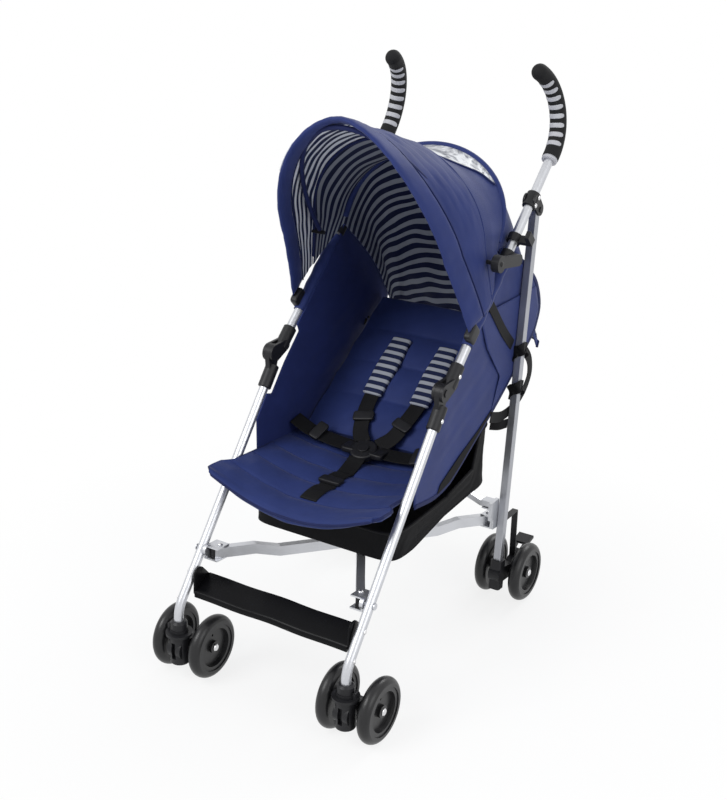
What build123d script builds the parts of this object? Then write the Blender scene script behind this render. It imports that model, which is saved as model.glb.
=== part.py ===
from build123d import *
import os
from math import cos, radians, sin

os.makedirs("parts", exist_ok=True)

# Umbrella-fold baby stroller, millimetres. +Z is up, the floor is z = 0, the child faces -Y,
# and x = 0 is the plane of symmetry. Each side is drawn as (y, z) points in its own plane.

# Stance: half the distance between the two sides, and the points of one side
side_x = 186.0
kingpin_y = -366.0
leg_bend_z = 148.0
elbow_y = -50.0
elbow_z = 554.0
grip_y = 345.0
grip_z = 926.0
rear_foot_y = 214.0
rear_foot_z = 70.0
front_axle_y = -325.0
rear_axle_y = 267.0

# Tubes, fits and gaps
tube_d = 18.0
tube_wall = 1.5
leg_bend_r = 60.0
rear_tube = 16.0
rear_wall = 1.5
fit = 0.05
gap = 0.3

# Wheels: tyre, rim, and half the distance between twin wheels
wheel_d = 124.0
tyre_w = 26.0
tyre_side_h = 6.0
rim_d = 92.0
rim_w = 22.0
dish_d = 72.0
web_t = 6.0
wheel_hub_d = 24.0
wheel_hub_w = 18.0
valve_hole_d = 5.0
front_twin = 43.0
rear_twin = 39.0
axle_d = 8.0
axle_cap_d = 14.0
axle_cap_t = 3.0

# Caster: yoke below, collar above, kingpin between them
yoke_d = 38.0
yoke_bottom_z = 36.0
flange_d = 51.0
flange_z = 96.0
flange_t = 5.0
neck_d = 34.0
neck_h = 7.0
kingpin_d = 12.0
kingpin_h = 18.0
collar_d = 32.0
collar_h = 16.0
collar_floor = 8.0
yoke_arm_w = 30.0
yoke_arm_h = 40.0
axle_boss_d = 26.0
yoke_slot_w = 9.0
yoke_slot_h = 34.0
yoke_slot_depth = 7.0
lock_tab_w = 11.0
lock_tab_t = 6.0
lock_tab_h = 13.0

# Elbow: pivot in front of the tube line, tongue below, fork above
elbow_offset = 18.0
elbow_r = 17.0
elbow_tongue = 10.0
elbow_cheek = 5.5
elbow_pin_d = 8.0
elbow_rivet_d = 15.0
elbow_rivet_t = 2.0
socket_d = 26.0
socket_len = 48.0
socket_gap = 18.0

# Handle: bend of the tube and its foam grip
grip_r_bend = 97.0
grip_turn = 111.0
tube_turn = 100.0
handle_lean = 11.0
grip_d = 32.4
grip_lead = 8.0

# Clamp on the upper tube that carries the top of the rear leg
clamp_s = 434.0
clamp_drop = 27.0
clamp_d = 27.0
clamp_len = 32.0
clamp_cheek = 4.0
clamp_ear_r = 12.0
rear_pin_d = 7.0
rear_top_over = 8.0
rivet_head_t = 2.0

# X brace: pins, bars and brackets
pin_x = 156.0
brace_front_y = -276.0
brace_front_z = 238.0
brace_rear_y = 216.0
brace_rear_z = 188.0
bar_h = 20.0
bar_w = 16.0
bar_crank = 11.0
bar_flat = 70.0
bar_slope = 50.0
bar_over = 12.0
brace_pin_d = 8.0
plate_t = 3.0
bracket_front = 20.0
bracket_back = 16.0
bracket_in = 9.0
hub_bolt_d = 10.0
hub_head_d = 20.0
hub_head_t = 4.0
hub_washer_t = 1.4
front_pivot_y = -292.0
front_pivot_d = 8.0
pivot_boss_d = 22.0

# Rear lock: two arched links that lap at the middle
lock_y = 206.0
lock_z = 229.0
lock_x = 160.0
lock_h = 12.0
lock_t = 14.0
lock_rise = 14.0
lock_pin_d = 6.0
lock_tip_over = 12.0
lock_lap = 72.0
lock_shoulder = 40.0
lock_end = 0.4
lock_shelf = 0.6

# Rear hub, brake stay and brake pedal
hub_block = 25.0
hub_top_z = 102.0
hub_arm_h = 34.0
hub_arm_w = 36.0
stay_w = 13.0
stay_t = 2.5
stay_y = 286.0
stay_z = 190.0
brake_y = 304.0
brake_z = 82.0
brake_pin_d = 6.0
brake_boss_d = 16.0
brake_pad_y = 338.0
brake_pad_z = 97.0
brake_pad_w = 34.0
brake_pad_len = 30.0
brake_pad_t = 6.0

# Footrest plate between the front legs
foot_y = -321.0
foot_back_y = -292.0
foot_back_z = 197.0
foot_front_y = -337.0
foot_front_z = 178.0
foot_t = 4.0
foot_flange_r = 15.0
foot_flange_t = 4.0

# Seat hammock: y, edge height, sag at the middle, thickness at the middle for each seam
seat_front_half = 187.0
seat_rows = (
    (-272.0, 403.0, 46.0, 16.0),
    (-215.0, 399.0, 40.0, 26.0),
    (-150.0, 394.0, 32.0, 28.0),
    (-88.0, 390.0, 26.0, 30.0),
    (-24.0, 386.0, 20.0, 28.0),
    (36.0, 383.0, 14.0, 22.0),
)
seat_edge_t = 9.0
seat_crown = 4.0

# Backrest pad on its own hinge line at the back of the seat, leaning as far as its straps let it
back_hinge_y = 38.0
back_hinge_z = 385.0
back_lean = 55.0
back_len = 335.0
back_half = 164.0
back_top_half = 150.0
back_t = 18.0
back_crown = 14.0
back_quilt = 4.0
back_skirt = 28.0

# Side panels
panel_t = 3.0
panel_inset = 17.0
panel_relief = 6.0
panel_low_y = -130.0
panel_seat_drop = 34.0
panel_dip_y = -46.0
panel_dip_z = 352.0
panel_back_drop = 22.0
wing_rise = 121.0
wing_over = 1.15
seat_half = side_x - tube_d / 2 - panel_t - 2 * gap

# Shoulder pads, webbing and buckle
strap_w = 32.0
strap_t = 2.0
pad_x = 54.0
pad_w = 46.0
pad_len = 140.0
pad_t = 12.0
pad_lift = 6.6
pad_top_share = 0.68
buckle_d = 54.0
buckle_t = 15.0
buckle_y = -21.0
buckle_lift = 22.0
buckle_tilt = 18.0
button_d = 22.0
button_t = 6.0
button_proud = 2.5

# Canopy: pivot, arched sections (base y and z, top y and z, half width at base and shoulder, rise)
canopy_pivot_y = 80.0
canopy_pivot_z = 775.0
canopy_wall = 3.0
canopy_rows = (
    (20.0, 656.0, -121.0, 1040.0, 197.0, 174.0, 268.0),
    (94.0, 704.0, 62.0, 980.0, 202.0, 188.0, 176.0),
    (130.0, 742.0, 192.0, 930.0, 186.0, 178.0, 140.0),
    (157.0, 772.0, 247.0, 940.0, 170.0, 170.0, 150.0),
    (270.0, 676.0, 326.0, 772.0, 169.0, 169.0, 80.0),
    (378.0, 545.0, 388.0, 575.0, 168.0, 168.0, 24.0),
)
canopy_split_y = 90.0
arch_steps = 12
bow_d = 8.0
bow_inset = 20.0
bow_half = side_x - bow_inset
bow_rise = 290.0
bow_foot = 14.0
bow_eye_d = 20.0
bow_eye_t = 7.0
canopy_pin_d = 8.0
canopy_eyelet_d = 8.6

# Canopy clamp on the upper tube, and the fold hook above it
canopy_clamp_s = 302.0
canopy_clamp_d = 27.0
canopy_clamp_len = 26.0
canopy_arm_x = 207.0
canopy_arm_t = 8.0
canopy_arm_r = 11.0
canopy_knob_d = 32.0
canopy_knob_t = 15.0
hook_s = 345.0
hook_d = 27.0
hook_len = 16.0
hook_reach = 34.0
hook_t = 9.0

# Basket: side outline under the seat and behind it
basket_half = 164.0
basket_wall = 3.0
basket_front_y = -170.0
basket_front_z = 318.0
basket_floor_front_z = 257.0
basket_floor_mid_y = 110.0
basket_floor_mid_z = 252.0
basket_rear_y = 224.0
basket_rear_low_z = 268.0
basket_rear_top_y = 212.0
basket_rear_top_z = 416.0
basket_side_low_y = 116.0
basket_side_low_z = 322.0
basket_tab_h = 16.0

sides = (("left", -1), ("right", 1))
half_turn = 180
tube_r = tube_d / 2
wheel_r = wheel_d / 2


def side_point(y, z):
    """A point of the side view, on the plane of symmetry."""
    return Vector(0, y, z)


def side_plane(x):
    """Plane across the stroller at x, with local x along +Y and local y along +Z."""
    return Plane(origin=(x, 0, 0), x_dir=(0, 1, 0), z_dir=(1, 0, 0))


def front_of(direction):
    """Unit vector square to a side-view direction, on its front and upper side."""
    return Vector(0, -direction.Z, direction.Y)


def at_side(point, sx, off=0.0):
    """The side-view point moved out to the left or right side, off is towards the outside."""
    return Vector(sx * (side_x + off), point.Y, point.Z)


def yz(point):
    """Local coordinates of a side-view point on a side plane."""
    return (point.Y, point.Z)


def across(point, x):
    """Location at a side-view point and x, with its local z along +X."""
    return Location((x, point.Y, point.Z), (0, 90, 0))


def save(builder, name):
    """Label the finished piece and write it as its own file."""
    builder.part.label = name
    export_step(builder.part, f"parts/{name}.step")


# Directions and points that several pieces share
elbow = side_point(elbow_y, elbow_z)
leg_bend = side_point(kingpin_y, leg_bend_z)
leg_dir = (elbow - leg_bend).normalized()
grip_start = side_point(grip_y, grip_z)
upper_dir = (grip_start - elbow).normalized()
upper_len = (grip_start - elbow).length
elbow_bisector = (front_of(leg_dir) + front_of(upper_dir)).normalized()
elbow_pivot = elbow + elbow_bisector * (elbow_offset / elbow_bisector.dot(front_of(leg_dir)))
leg_top = elbow - leg_dir * socket_gap
upper_foot = elbow + upper_dir * socket_gap
rear_foot = side_point(rear_foot_y, rear_foot_z)
rear_pivot = elbow + upper_dir * clamp_s - front_of(upper_dir) * clamp_drop
rear_dir = (rear_pivot - rear_foot).normalized()
front_axle = side_point(front_axle_y, wheel_r)
rear_axle = side_point(rear_axle_y, wheel_r)
collar_z = flange_z + flange_t + neck_h + gap
tube_foot_z = collar_z + collar_floor
brace_front = side_point(brace_front_y, brace_front_z)
brace_rear = side_point(brace_rear_y, brace_rear_z)
brace_mid = (brace_front + brace_rear) * 0.5
brace_back = (brace_rear - brace_front).normalized()
brace_up = front_of(brace_back)
brace_half = (brace_rear - brace_front).length / 2
front_pivot = leg_bend + leg_dir * ((front_pivot_y - kingpin_y) / leg_dir.Y)
leg_inner_x = side_x - tube_r
rear_inner_x = side_x - rear_tube / 2
canopy_pivot = side_point(canopy_pivot_y, canopy_pivot_z)


def rear_leg_point(z):
    """Point of the rear leg's axis at height z."""
    return rear_foot + rear_dir * ((z - rear_foot.Z) / rear_dir.Z)


def twin_wheel_centres(axle, twin, sx):
    """Inner and outer wheel centres on one axle."""
    inner = Vector(sx * (side_x - twin), axle.Y, axle.Z)
    outer = Vector(sx * (side_x + twin), axle.Y, axle.Z)
    return (("inner", inner), ("outer", outer))


def spin_plane(centre):
    """Plane through an axle, with local x along the axle and local y up."""
    return Plane(origin=centre, x_dir=(1, 0, 0), z_dir=(0, -1, 0))


# Eight wheels, each a soft tyre on a moulded rim with a running bore
axles = (("front", front_axle, front_twin), ("rear", rear_axle, rear_twin))
for end, axle, twin in axles:
    for side, sx in sides:
        for place, centre in twin_wheel_centres(axle, twin, sx):
            half_tyre = tyre_w / 2
            half_rim = rim_w / 2
            half_hub = wheel_hub_w / 2
            rim_r = rim_d / 2
            dish_r = dish_d / 2
            wall_r = rim_r + tyre_side_h
            with BuildPart() as wheel:
                with BuildSketch(spin_plane(centre)):
                    with BuildLine():
                        Polyline(
                            (-half_tyre, wall_r),
                            (-half_tyre, rim_r + fit),
                            (half_tyre, rim_r + fit),
                            (half_tyre, wall_r),
                        )
                        ThreePointArc((half_tyre, wall_r), (0, wheel_r), (-half_tyre, wall_r))
                    make_face()
                revolve(axis=Axis(centre, (1, 0, 0)))
                with BuildSketch(spin_plane(centre)):
                    with BuildLine():
                        Polyline(
                            (-half_hub, axle_d / 2 + fit),
                            (half_hub, axle_d / 2 + fit),
                            (half_hub, wheel_hub_d / 2),
                            (web_t / 2, wheel_hub_d / 2),
                            (web_t / 2, dish_r),
                            (half_rim, dish_r + 2),
                            (half_rim, rim_r),
                            (-half_rim, rim_r),
                            (-half_rim, dish_r + 2),
                            (-web_t / 2, dish_r),
                            (-web_t / 2, wheel_hub_d / 2),
                            (-half_hub, wheel_hub_d / 2),
                            close=True,
                        )
                    make_face()
                revolve(axis=Axis(centre, (1, 0, 0)))
                valve = centre + Vector(0, 0, (dish_d + wheel_hub_d) / 4)
                with Locations(across(valve, centre.X)):
                    Cylinder(valve_hole_d / 2, 2 * web_t, mode=Mode.SUBTRACT)
            save(wheel, f"{end}_wheel_{side}_{place}")

# Axles: a steel rod with a domed cap outside each wheel
for end, axle, twin in axles:
    for side, sx in sides:
        cap_x = twin + wheel_hub_w / 2 + gap
        with BuildPart() as axle_rod:
            with Locations(across(axle, sx * side_x)):
                Cylinder(axle_d / 2, 2 * cap_x)
            for end_sx in (-1, 1):
                with Locations(across(axle, sx * side_x + end_sx * (cap_x + axle_cap_t / 2))):
                    Cylinder(axle_cap_d / 2, axle_cap_t)
            cap_rims = axle_rod.edges().filter_by(GeomType.CIRCLE).group_by(Axis.X)
            chamfer(cap_rims[0] + cap_rims[-1], axle_cap_t * 0.4)
        save(axle_rod, f"{end}_axle_{side}")

# Front casters: a swivelling yoke with its kingpin, and the collar on the leg above it
for side, sx in sides:
    king = Vector(sx * side_x, kingpin_y, 0)
    boss_half = front_twin - wheel_hub_w / 2 - gap
    with BuildPart() as caster_yoke:
        with BuildSketch(Plane.XY.offset(yoke_bottom_z)):
            with Locations((king.X, king.Y)):
                Circle(yoke_d / 2)
        extrude(amount=flange_z - yoke_bottom_z)
        fillet(caster_yoke.edges().group_by(Axis.Z)[0], yoke_d * 0.08)
        with BuildSketch(Plane.XY.offset(flange_z)):
            with Locations((king.X, king.Y)):
                Circle(flange_d / 2)
        extrude(amount=flange_t)
        with BuildSketch(Plane.XY.offset(flange_z + flange_t)):
            with Locations((king.X, king.Y)):
                Circle(neck_d / 2)
        extrude(amount=neck_h)
        with BuildSketch(Plane.XY.offset(flange_z + flange_t + neck_h)):
            with Locations((king.X, king.Y)):
                Circle(kingpin_d / 2)
        extrude(amount=kingpin_h)
        with BuildSketch(side_plane(king.X)):
            with Locations((kingpin_y, wheel_r + yoke_arm_h * 0.1)):
                Circle(yoke_arm_h / 2)
            with Locations(yz(front_axle)):
                Circle(axle_boss_d / 2)
            make_hull()
        extrude(amount=yoke_arm_w / 2, both=True)
        with BuildSketch(side_plane(king.X)):
            with Locations(yz(front_axle)):
                Circle(axle_boss_d / 2)
        extrude(amount=boss_half, both=True)
        with Locations(across(front_axle, king.X)):
            Cylinder(axle_d / 2 + fit, 2 * boss_half + 1, mode=Mode.SUBTRACT)
        with Locations((king.X, kingpin_y - yoke_d / 2, (yoke_bottom_z + flange_z) / 2)):
            Box(yoke_slot_w, 2 * yoke_slot_depth, yoke_slot_h, mode=Mode.SUBTRACT)
    save(caster_yoke, f"caster_yoke_{side}")

    with BuildPart() as caster_collar:
        with BuildSketch(Plane.XY.offset(collar_z)):
            with Locations((king.X, king.Y)):
                Circle(collar_d / 2)
        extrude(amount=collar_h)
        chamfer(caster_collar.edges().group_by(Axis.Z)[-1], collar_h * 0.2)
        with Locations((king.X, king.Y, tube_foot_z + collar_h / 2)):
            Cylinder(tube_r + fit, collar_h, mode=Mode.SUBTRACT)
        with Locations((king.X, king.Y, collar_z + collar_h / 2)):
            Cylinder(kingpin_d / 2 + fit, 2 * collar_h, mode=Mode.SUBTRACT)
    save(caster_collar, f"caster_collar_{side}")

    tab_x = sx * (side_x + neck_d / 2 + gap + lock_tab_t / 2)
    with BuildPart() as swivel_lock:
        with Locations((tab_x, kingpin_y, flange_z + flange_t + gap + lock_tab_h / 2)):
            Box(lock_tab_t, lock_tab_w, lock_tab_h)
        outer_edges = swivel_lock.edges().filter_by(Axis.Y).group_by(Axis.Z)[-1]
        fillet(outer_edges, lock_tab_t * 0.35)
    save(swivel_lock, f"swivel_lock_{side}")

# Front legs: a round tube, upright in the caster and then leaning back to the elbow
for side, sx in sides:
    with BuildPart() as front_leg:
        with BuildLine(side_plane(sx * side_x)) as leg_path:
            FilletPolyline(
                (kingpin_y, tube_foot_z), yz(leg_bend), yz(leg_top), radius=leg_bend_r
            )
        with BuildSketch(Plane(origin=leg_path.line @ 0, z_dir=leg_path.line % 0)):
            Circle(tube_r)
            Circle(tube_r - tube_wall, mode=Mode.SUBTRACT)
        sweep()
        with Locations(across(front_pivot, sx * side_x)):
            Cylinder(front_pivot_d / 2 + fit, 2 * tube_d, mode=Mode.SUBTRACT)
    save(front_leg, f"front_leg_{side}")

# Elbows: a socket with a tongue on the leg, and a socket with a fork on the upper tube
for side, sx in sides:
    elbow_x = sx * side_x
    fork_in = elbow_tongue / 2 + gap
    with BuildPart() as elbow_lower:
        with BuildSketch(Plane(origin=at_side(leg_top, sx), z_dir=leg_dir * -1)):
            Circle(socket_d / 2)
        extrude(amount=socket_len)
        chamfer(elbow_lower.edges().filter_by(GeomType.CIRCLE), socket_d * 0.06)
        arm_foot = leg_top - leg_dir * (elbow_r * 0.6)
        with BuildSketch(side_plane(elbow_x)):
            with Locations(yz(elbow_pivot)):
                Circle(elbow_r)
            with Locations(yz(arm_foot)):
                Circle(socket_d * 0.4)
            make_hull()
        extrude(amount=elbow_tongue / 2, both=True)
        with Locations(Location(Plane(origin=at_side(leg_top, sx), z_dir=leg_dir))):
            Cylinder(
                tube_r + fit, socket_len, align=(Align.CENTER, Align.CENTER, Align.MAX),
                mode=Mode.SUBTRACT,
            )
        with Locations(Location(Plane(origin=at_side(leg_top, sx), z_dir=leg_dir * -1))):
            Cylinder(
                tube_r + fit, socket_len, align=(Align.CENTER, Align.CENTER, Align.MIN),
                mode=Mode.SUBTRACT,
            )
        with Locations(across(elbow_pivot, elbow_x)):
            Cylinder(elbow_pin_d / 2 + fit, 2 * elbow_tongue, mode=Mode.SUBTRACT)
    save(elbow_lower, f"elbow_lower_{side}")

    with BuildPart() as elbow_upper:
        with BuildSketch(Plane(origin=at_side(upper_foot, sx), z_dir=upper_dir)):
            Circle(socket_d / 2)
        extrude(amount=socket_len)
        chamfer(elbow_upper.edges().filter_by(GeomType.CIRCLE), socket_d * 0.06)
        arm_top = upper_foot + upper_dir * (elbow_r * 0.6)
        for cheek in (-1, 1):
            with BuildSketch(side_plane(elbow_x + cheek * fork_in)):
                with Locations(yz(elbow_pivot)):
                    Circle(elbow_r)
                with Locations(yz(arm_top)):
                    Circle(socket_d * 0.4)
                make_hull()
            extrude(amount=cheek * elbow_cheek)
        with Locations(Location(Plane(origin=at_side(upper_foot, sx), z_dir=upper_dir))):
            Cylinder(
                tube_r + fit, socket_len, align=(Align.CENTER, Align.CENTER, Align.MIN),
                mode=Mode.SUBTRACT,
            )
        pin_half = fork_in + elbow_cheek
        with Locations(across(elbow_pivot, elbow_x)):
            Cylinder(elbow_pin_d / 2, 2 * pin_half)
        with Locations(across(elbow_pivot, elbow_x + sx * (pin_half + elbow_rivet_t / 2))):
            Cylinder(elbow_rivet_d / 2, elbow_rivet_t)
    save(elbow_upper, f"elbow_upper_{side}")


def handle_plane(sx):
    """Plane of the upper tube and its handle bend, which leans in towards the middle."""
    lean = radians(handle_lean)
    inward = front_of(upper_dir) * cos(lean) + Vector(-sx, 0, 0) * sin(lean)
    return Plane(origin=at_side(elbow, sx), x_dir=upper_dir, z_dir=upper_dir.cross(inward))


# Upper tubes with their bent handles, and the foam grips over the bends
for side, sx in sides:
    with BuildPart() as upper_tube:
        with BuildLine(handle_plane(sx)) as tube_path:
            straight = Line((socket_gap, 0), (upper_len, 0))
            JernArc(straight @ 1, straight % 1, grip_r_bend, tube_turn)
        with BuildSketch(Plane(origin=tube_path.line @ 0, z_dir=tube_path.line % 0)):
            Circle(tube_r)
            Circle(tube_r - tube_wall, mode=Mode.SUBTRACT)
        sweep()
    save(upper_tube, f"upper_tube_{side}")

    with BuildPart() as handle_grip:
        with BuildLine(handle_plane(sx)) as grip_path:
            lead = Line((upper_len - grip_lead, 0), (upper_len, 0))
            JernArc(lead @ 1, lead % 1, grip_r_bend, grip_turn)
        with BuildSketch(Plane(origin=grip_path.line @ 0, z_dir=grip_path.line % 0)):
            Circle(grip_d / 2)
        sweep()
        with Locations(grip_path.line @ 1):
            Sphere(grip_d / 2)
        with BuildLine(handle_plane(sx)) as bore_path:
            bore_lead = Line((upper_len - 2 * grip_lead, 0), (upper_len, 0))
            JernArc(bore_lead @ 1, bore_lead % 1, grip_r_bend, tube_turn + 0.5)
        with BuildSketch(Plane(origin=bore_path.line @ 0, z_dir=bore_path.line % 0)):
            Circle(tube_r + fit)
        sweep(mode=Mode.SUBTRACT)
    save(handle_grip, f"handle_grip_{side}")

# Clamps that carry the tops of the rear legs between two cheeks
for side, sx in sides:
    clamp_x = sx * side_x
    clamp_point = elbow + upper_dir * clamp_s
    cheek_in = rear_tube / 2 + gap
    with BuildPart() as leg_clamp:
        start = clamp_point - upper_dir * (clamp_len / 2)
        with BuildSketch(Plane(origin=at_side(start, sx), z_dir=upper_dir)):
            Circle(clamp_d / 2)
        extrude(amount=clamp_len)
        fillet(leg_clamp.edges().filter_by(GeomType.CIRCLE), clamp_d * 0.08)
        for cheek in (-1, 1):
            with BuildSketch(side_plane(clamp_x + cheek * cheek_in)):
                with Locations(yz(rear_pivot)):
                    Circle(clamp_ear_r)
                with Locations(yz(clamp_point)):
                    Circle(clamp_d / 2)
                make_hull()
            extrude(amount=cheek * clamp_cheek)
        with Locations(Location(Plane(origin=at_side(clamp_point, sx), z_dir=upper_dir))):
            Cylinder(tube_r + fit, 2 * clamp_len, mode=Mode.SUBTRACT)
        ear_half = cheek_in + clamp_cheek
        with Locations(across(rear_pivot, clamp_x)):
            Cylinder(rear_pin_d / 2, 2 * ear_half)
        with Locations(across(rear_pivot, clamp_x + sx * (ear_half + rivet_head_t / 2))):
            Cylinder(rear_pin_d * 0.8, rivet_head_t)
    save(leg_clamp, f"leg_clamp_{side}")

# Rear legs: square tubes hung from the clamps and standing in the rear hubs
rear_len = (rear_pivot - rear_foot).length + rear_top_over
for side, sx in sides:
    with BuildPart() as rear_leg:
        foot_plane = Plane(origin=at_side(rear_foot, sx), x_dir=(1, 0, 0), z_dir=rear_dir)
        with BuildSketch(foot_plane):
            RectangleRounded(rear_tube, rear_tube, rear_wall * 1.2)
            hollow = rear_tube - 2 * rear_wall
            Rectangle(hollow, hollow, mode=Mode.SUBTRACT)
        extrude(amount=rear_len)
        with Locations(across(rear_pivot, sx * side_x)):
            Cylinder(rear_pin_d / 2 + fit, 2 * rear_tube, mode=Mode.SUBTRACT)
    save(rear_leg, f"rear_leg_{side}")

# Rear hubs: a socket for the leg, an arm back to the axle, and the bent brake stay
for side, sx in sides:
    hub_x = sx * side_x
    boss_half = rear_twin - wheel_hub_w / 2 - gap
    foot_plane = Plane(origin=at_side(rear_foot, sx), x_dir=(1, 0, 0), z_dir=rear_dir)
    socket_depth = (hub_top_z - rear_foot_z) / rear_dir.Z
    stay_start = rear_leg_point(stay_z) + Vector(0, rear_tube / 2 + gap, 0)
    brake_pivot = side_point(brake_y, brake_z)
    with BuildPart() as rear_hub:
        with BuildSketch(foot_plane.offset(-socket_depth)):
            RectangleRounded(hub_block, hub_block, hub_block * 0.2)
        extrude(amount=2 * socket_depth)
        with BuildSketch(side_plane(hub_x)):
            with Locations(yz(rear_foot)):
                Circle(hub_arm_h / 2)
            with Locations(yz(rear_axle)):
                Circle(axle_boss_d / 2)
            make_hull()
        extrude(amount=hub_block / 2, both=True)
        with BuildSketch(side_plane(hub_x)):
            with Locations(yz(rear_axle)):
                Circle(axle_boss_d / 2)
            with Locations(yz(brake_pivot)):
                Circle(brake_boss_d / 2)
            make_hull()
        extrude(amount=stay_w / 2, both=True)
        with BuildSketch(side_plane(hub_x)):
            with Locations(yz(rear_axle)):
                Circle(axle_boss_d / 2)
        extrude(amount=boss_half, both=True)
        with BuildSketch(side_plane(hub_x)):
            with BuildLine():
                Polyline(
                    yz(stay_start),
                    (stay_y, stay_z),
                    (stay_y, wheel_r),
                    (stay_y - stay_t, wheel_r),
                    (stay_y - stay_t, stay_z - stay_t),
                    (stay_start.Y, stay_z - stay_t),
                    close=True,
                )
            make_face()
        extrude(amount=stay_w / 2, both=True)
        with Locations(Location(foot_plane)):
            Box(
                rear_tube + 2 * fit, rear_tube + 2 * fit, 2 * socket_depth,
                align=(Align.CENTER, Align.CENTER, Align.MIN), mode=Mode.SUBTRACT,
            )
        with Locations(across(rear_axle, hub_x)):
            Cylinder(axle_d / 2 + fit, 2 * boss_half + 1, mode=Mode.SUBTRACT)
        with Locations(across(brake_pivot, hub_x)):
            Cylinder(brake_pin_d / 2 + fit, 2 * stay_w, mode=Mode.SUBTRACT)
    save(rear_hub, f"rear_hub_{side}")

    fork_in = stay_w / 2 + gap
    fork_t = brake_pad_w / 2 - fork_in
    brake_pad = side_point(brake_pad_y, brake_pad_z)
    with BuildPart() as brake_lever:
        for cheek in (-1, 1):
            with BuildSketch(side_plane(hub_x + cheek * fork_in)):
                with Locations(yz(brake_pivot)):
                    Circle(brake_boss_d / 2)
                with Locations(yz(brake_pad)):
                    Circle(brake_pad_t / 2)
                make_hull()
            extrude(amount=cheek * fork_t * 0.4)
        with Locations(across(brake_pivot, hub_x)):
            Cylinder(brake_pin_d / 2, 2 * fork_in)
        with Locations(Location((hub_x, brake_pad.Y, brake_pad.Z), (12, 0, 0))):
            Box(brake_pad_w, brake_pad_len, brake_pad_t)
        fillet(brake_lever.edges().filter_by(Axis.X).group_by(Axis.Y)[-1], brake_pad_t * 0.3)
    save(brake_lever, f"brake_lever_{side}")


def brace_plane(x, point):
    """Plane of the X brace at a pin: local x across, local y towards the back, local z up."""
    return Plane(origin=(x, point.Y, point.Z), x_dir=(1, 0, 0), z_dir=brace_up)


# X brace: two cranked bars that cross at the middle bolt
bar_length = Vector(2 * pin_x, 2 * brace_half, 0).length
bar_ends = (("a", 1, -1), ("b", -1, 1))
for bar_name, slant, crank_side in bar_ends:
    bar_dir = (Vector(slant * pin_x, 0, 0) + brace_back * brace_half).normalized()
    bar_plane = Plane(origin=brace_mid, x_dir=bar_dir, z_dir=bar_dir.cross(brace_up))
    half = bar_length / 2
    crank = crank_side * bar_crank
    knee = half - bar_flat
    inner_knee = knee - bar_slope
    with BuildPart() as brace_bar:
        with BuildSketch(bar_plane):
            with BuildLine():
                Polyline(
                    (-half - bar_over, bar_h / 2),
                    (-knee, bar_h / 2),
                    (-inner_knee, bar_h / 2 + crank),
                    (inner_knee, bar_h / 2 + crank),
                    (knee, bar_h / 2),
                    (half + bar_over, bar_h / 2),
                    (half + bar_over, -bar_h / 2),
                    (knee, -bar_h / 2),
                    (inner_knee, -bar_h / 2 + crank),
                    (-inner_knee, -bar_h / 2 + crank),
                    (-knee, -bar_h / 2),
                    (-half - bar_over, -bar_h / 2),
                    close=True,
                )
            make_face()
        extrude(amount=bar_w / 2, both=True)
        for end_x in (-half, half):
            pin_spot = brace_mid + bar_dir * end_x
            with Locations(Location(Plane(origin=pin_spot, x_dir=(1, 0, 0), z_dir=brace_up))):
                Cylinder(brace_pin_d / 2 + fit, 2 * bar_h, mode=Mode.SUBTRACT)
        with Locations(Location(Plane(origin=brace_mid, x_dir=(1, 0, 0), z_dir=brace_up))):
            Cylinder(hub_bolt_d / 2 + fit, 4 * bar_h, mode=Mode.SUBTRACT)
    save(brace_bar, f"brace_bar_{bar_name}")

bolt_half = bar_crank + bar_h / 2 + gap
with BuildPart() as brace_pivot_bolt:
    with BuildSketch(Plane(origin=brace_mid, x_dir=(1, 0, 0), z_dir=brace_up)):
        Circle(hub_bolt_d / 2)
    extrude(amount=bolt_half, both=True)
    with BuildSketch(Plane(origin=brace_mid, x_dir=(1, 0, 0), z_dir=brace_up)):
        Circle(hub_head_d / 2)
    extrude(amount=hub_washer_t / 2, both=True)
    for head in (-1, 1):
        head_spot = brace_mid + brace_up * (head * bolt_half)
        with BuildSketch(Plane(origin=head_spot, x_dir=(1, 0, 0), z_dir=brace_up)):
            Circle(hub_head_d / 2)
        extrude(amount=head * hub_head_t)
save(brace_pivot_bolt, "brace_pivot_bolt")

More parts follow.
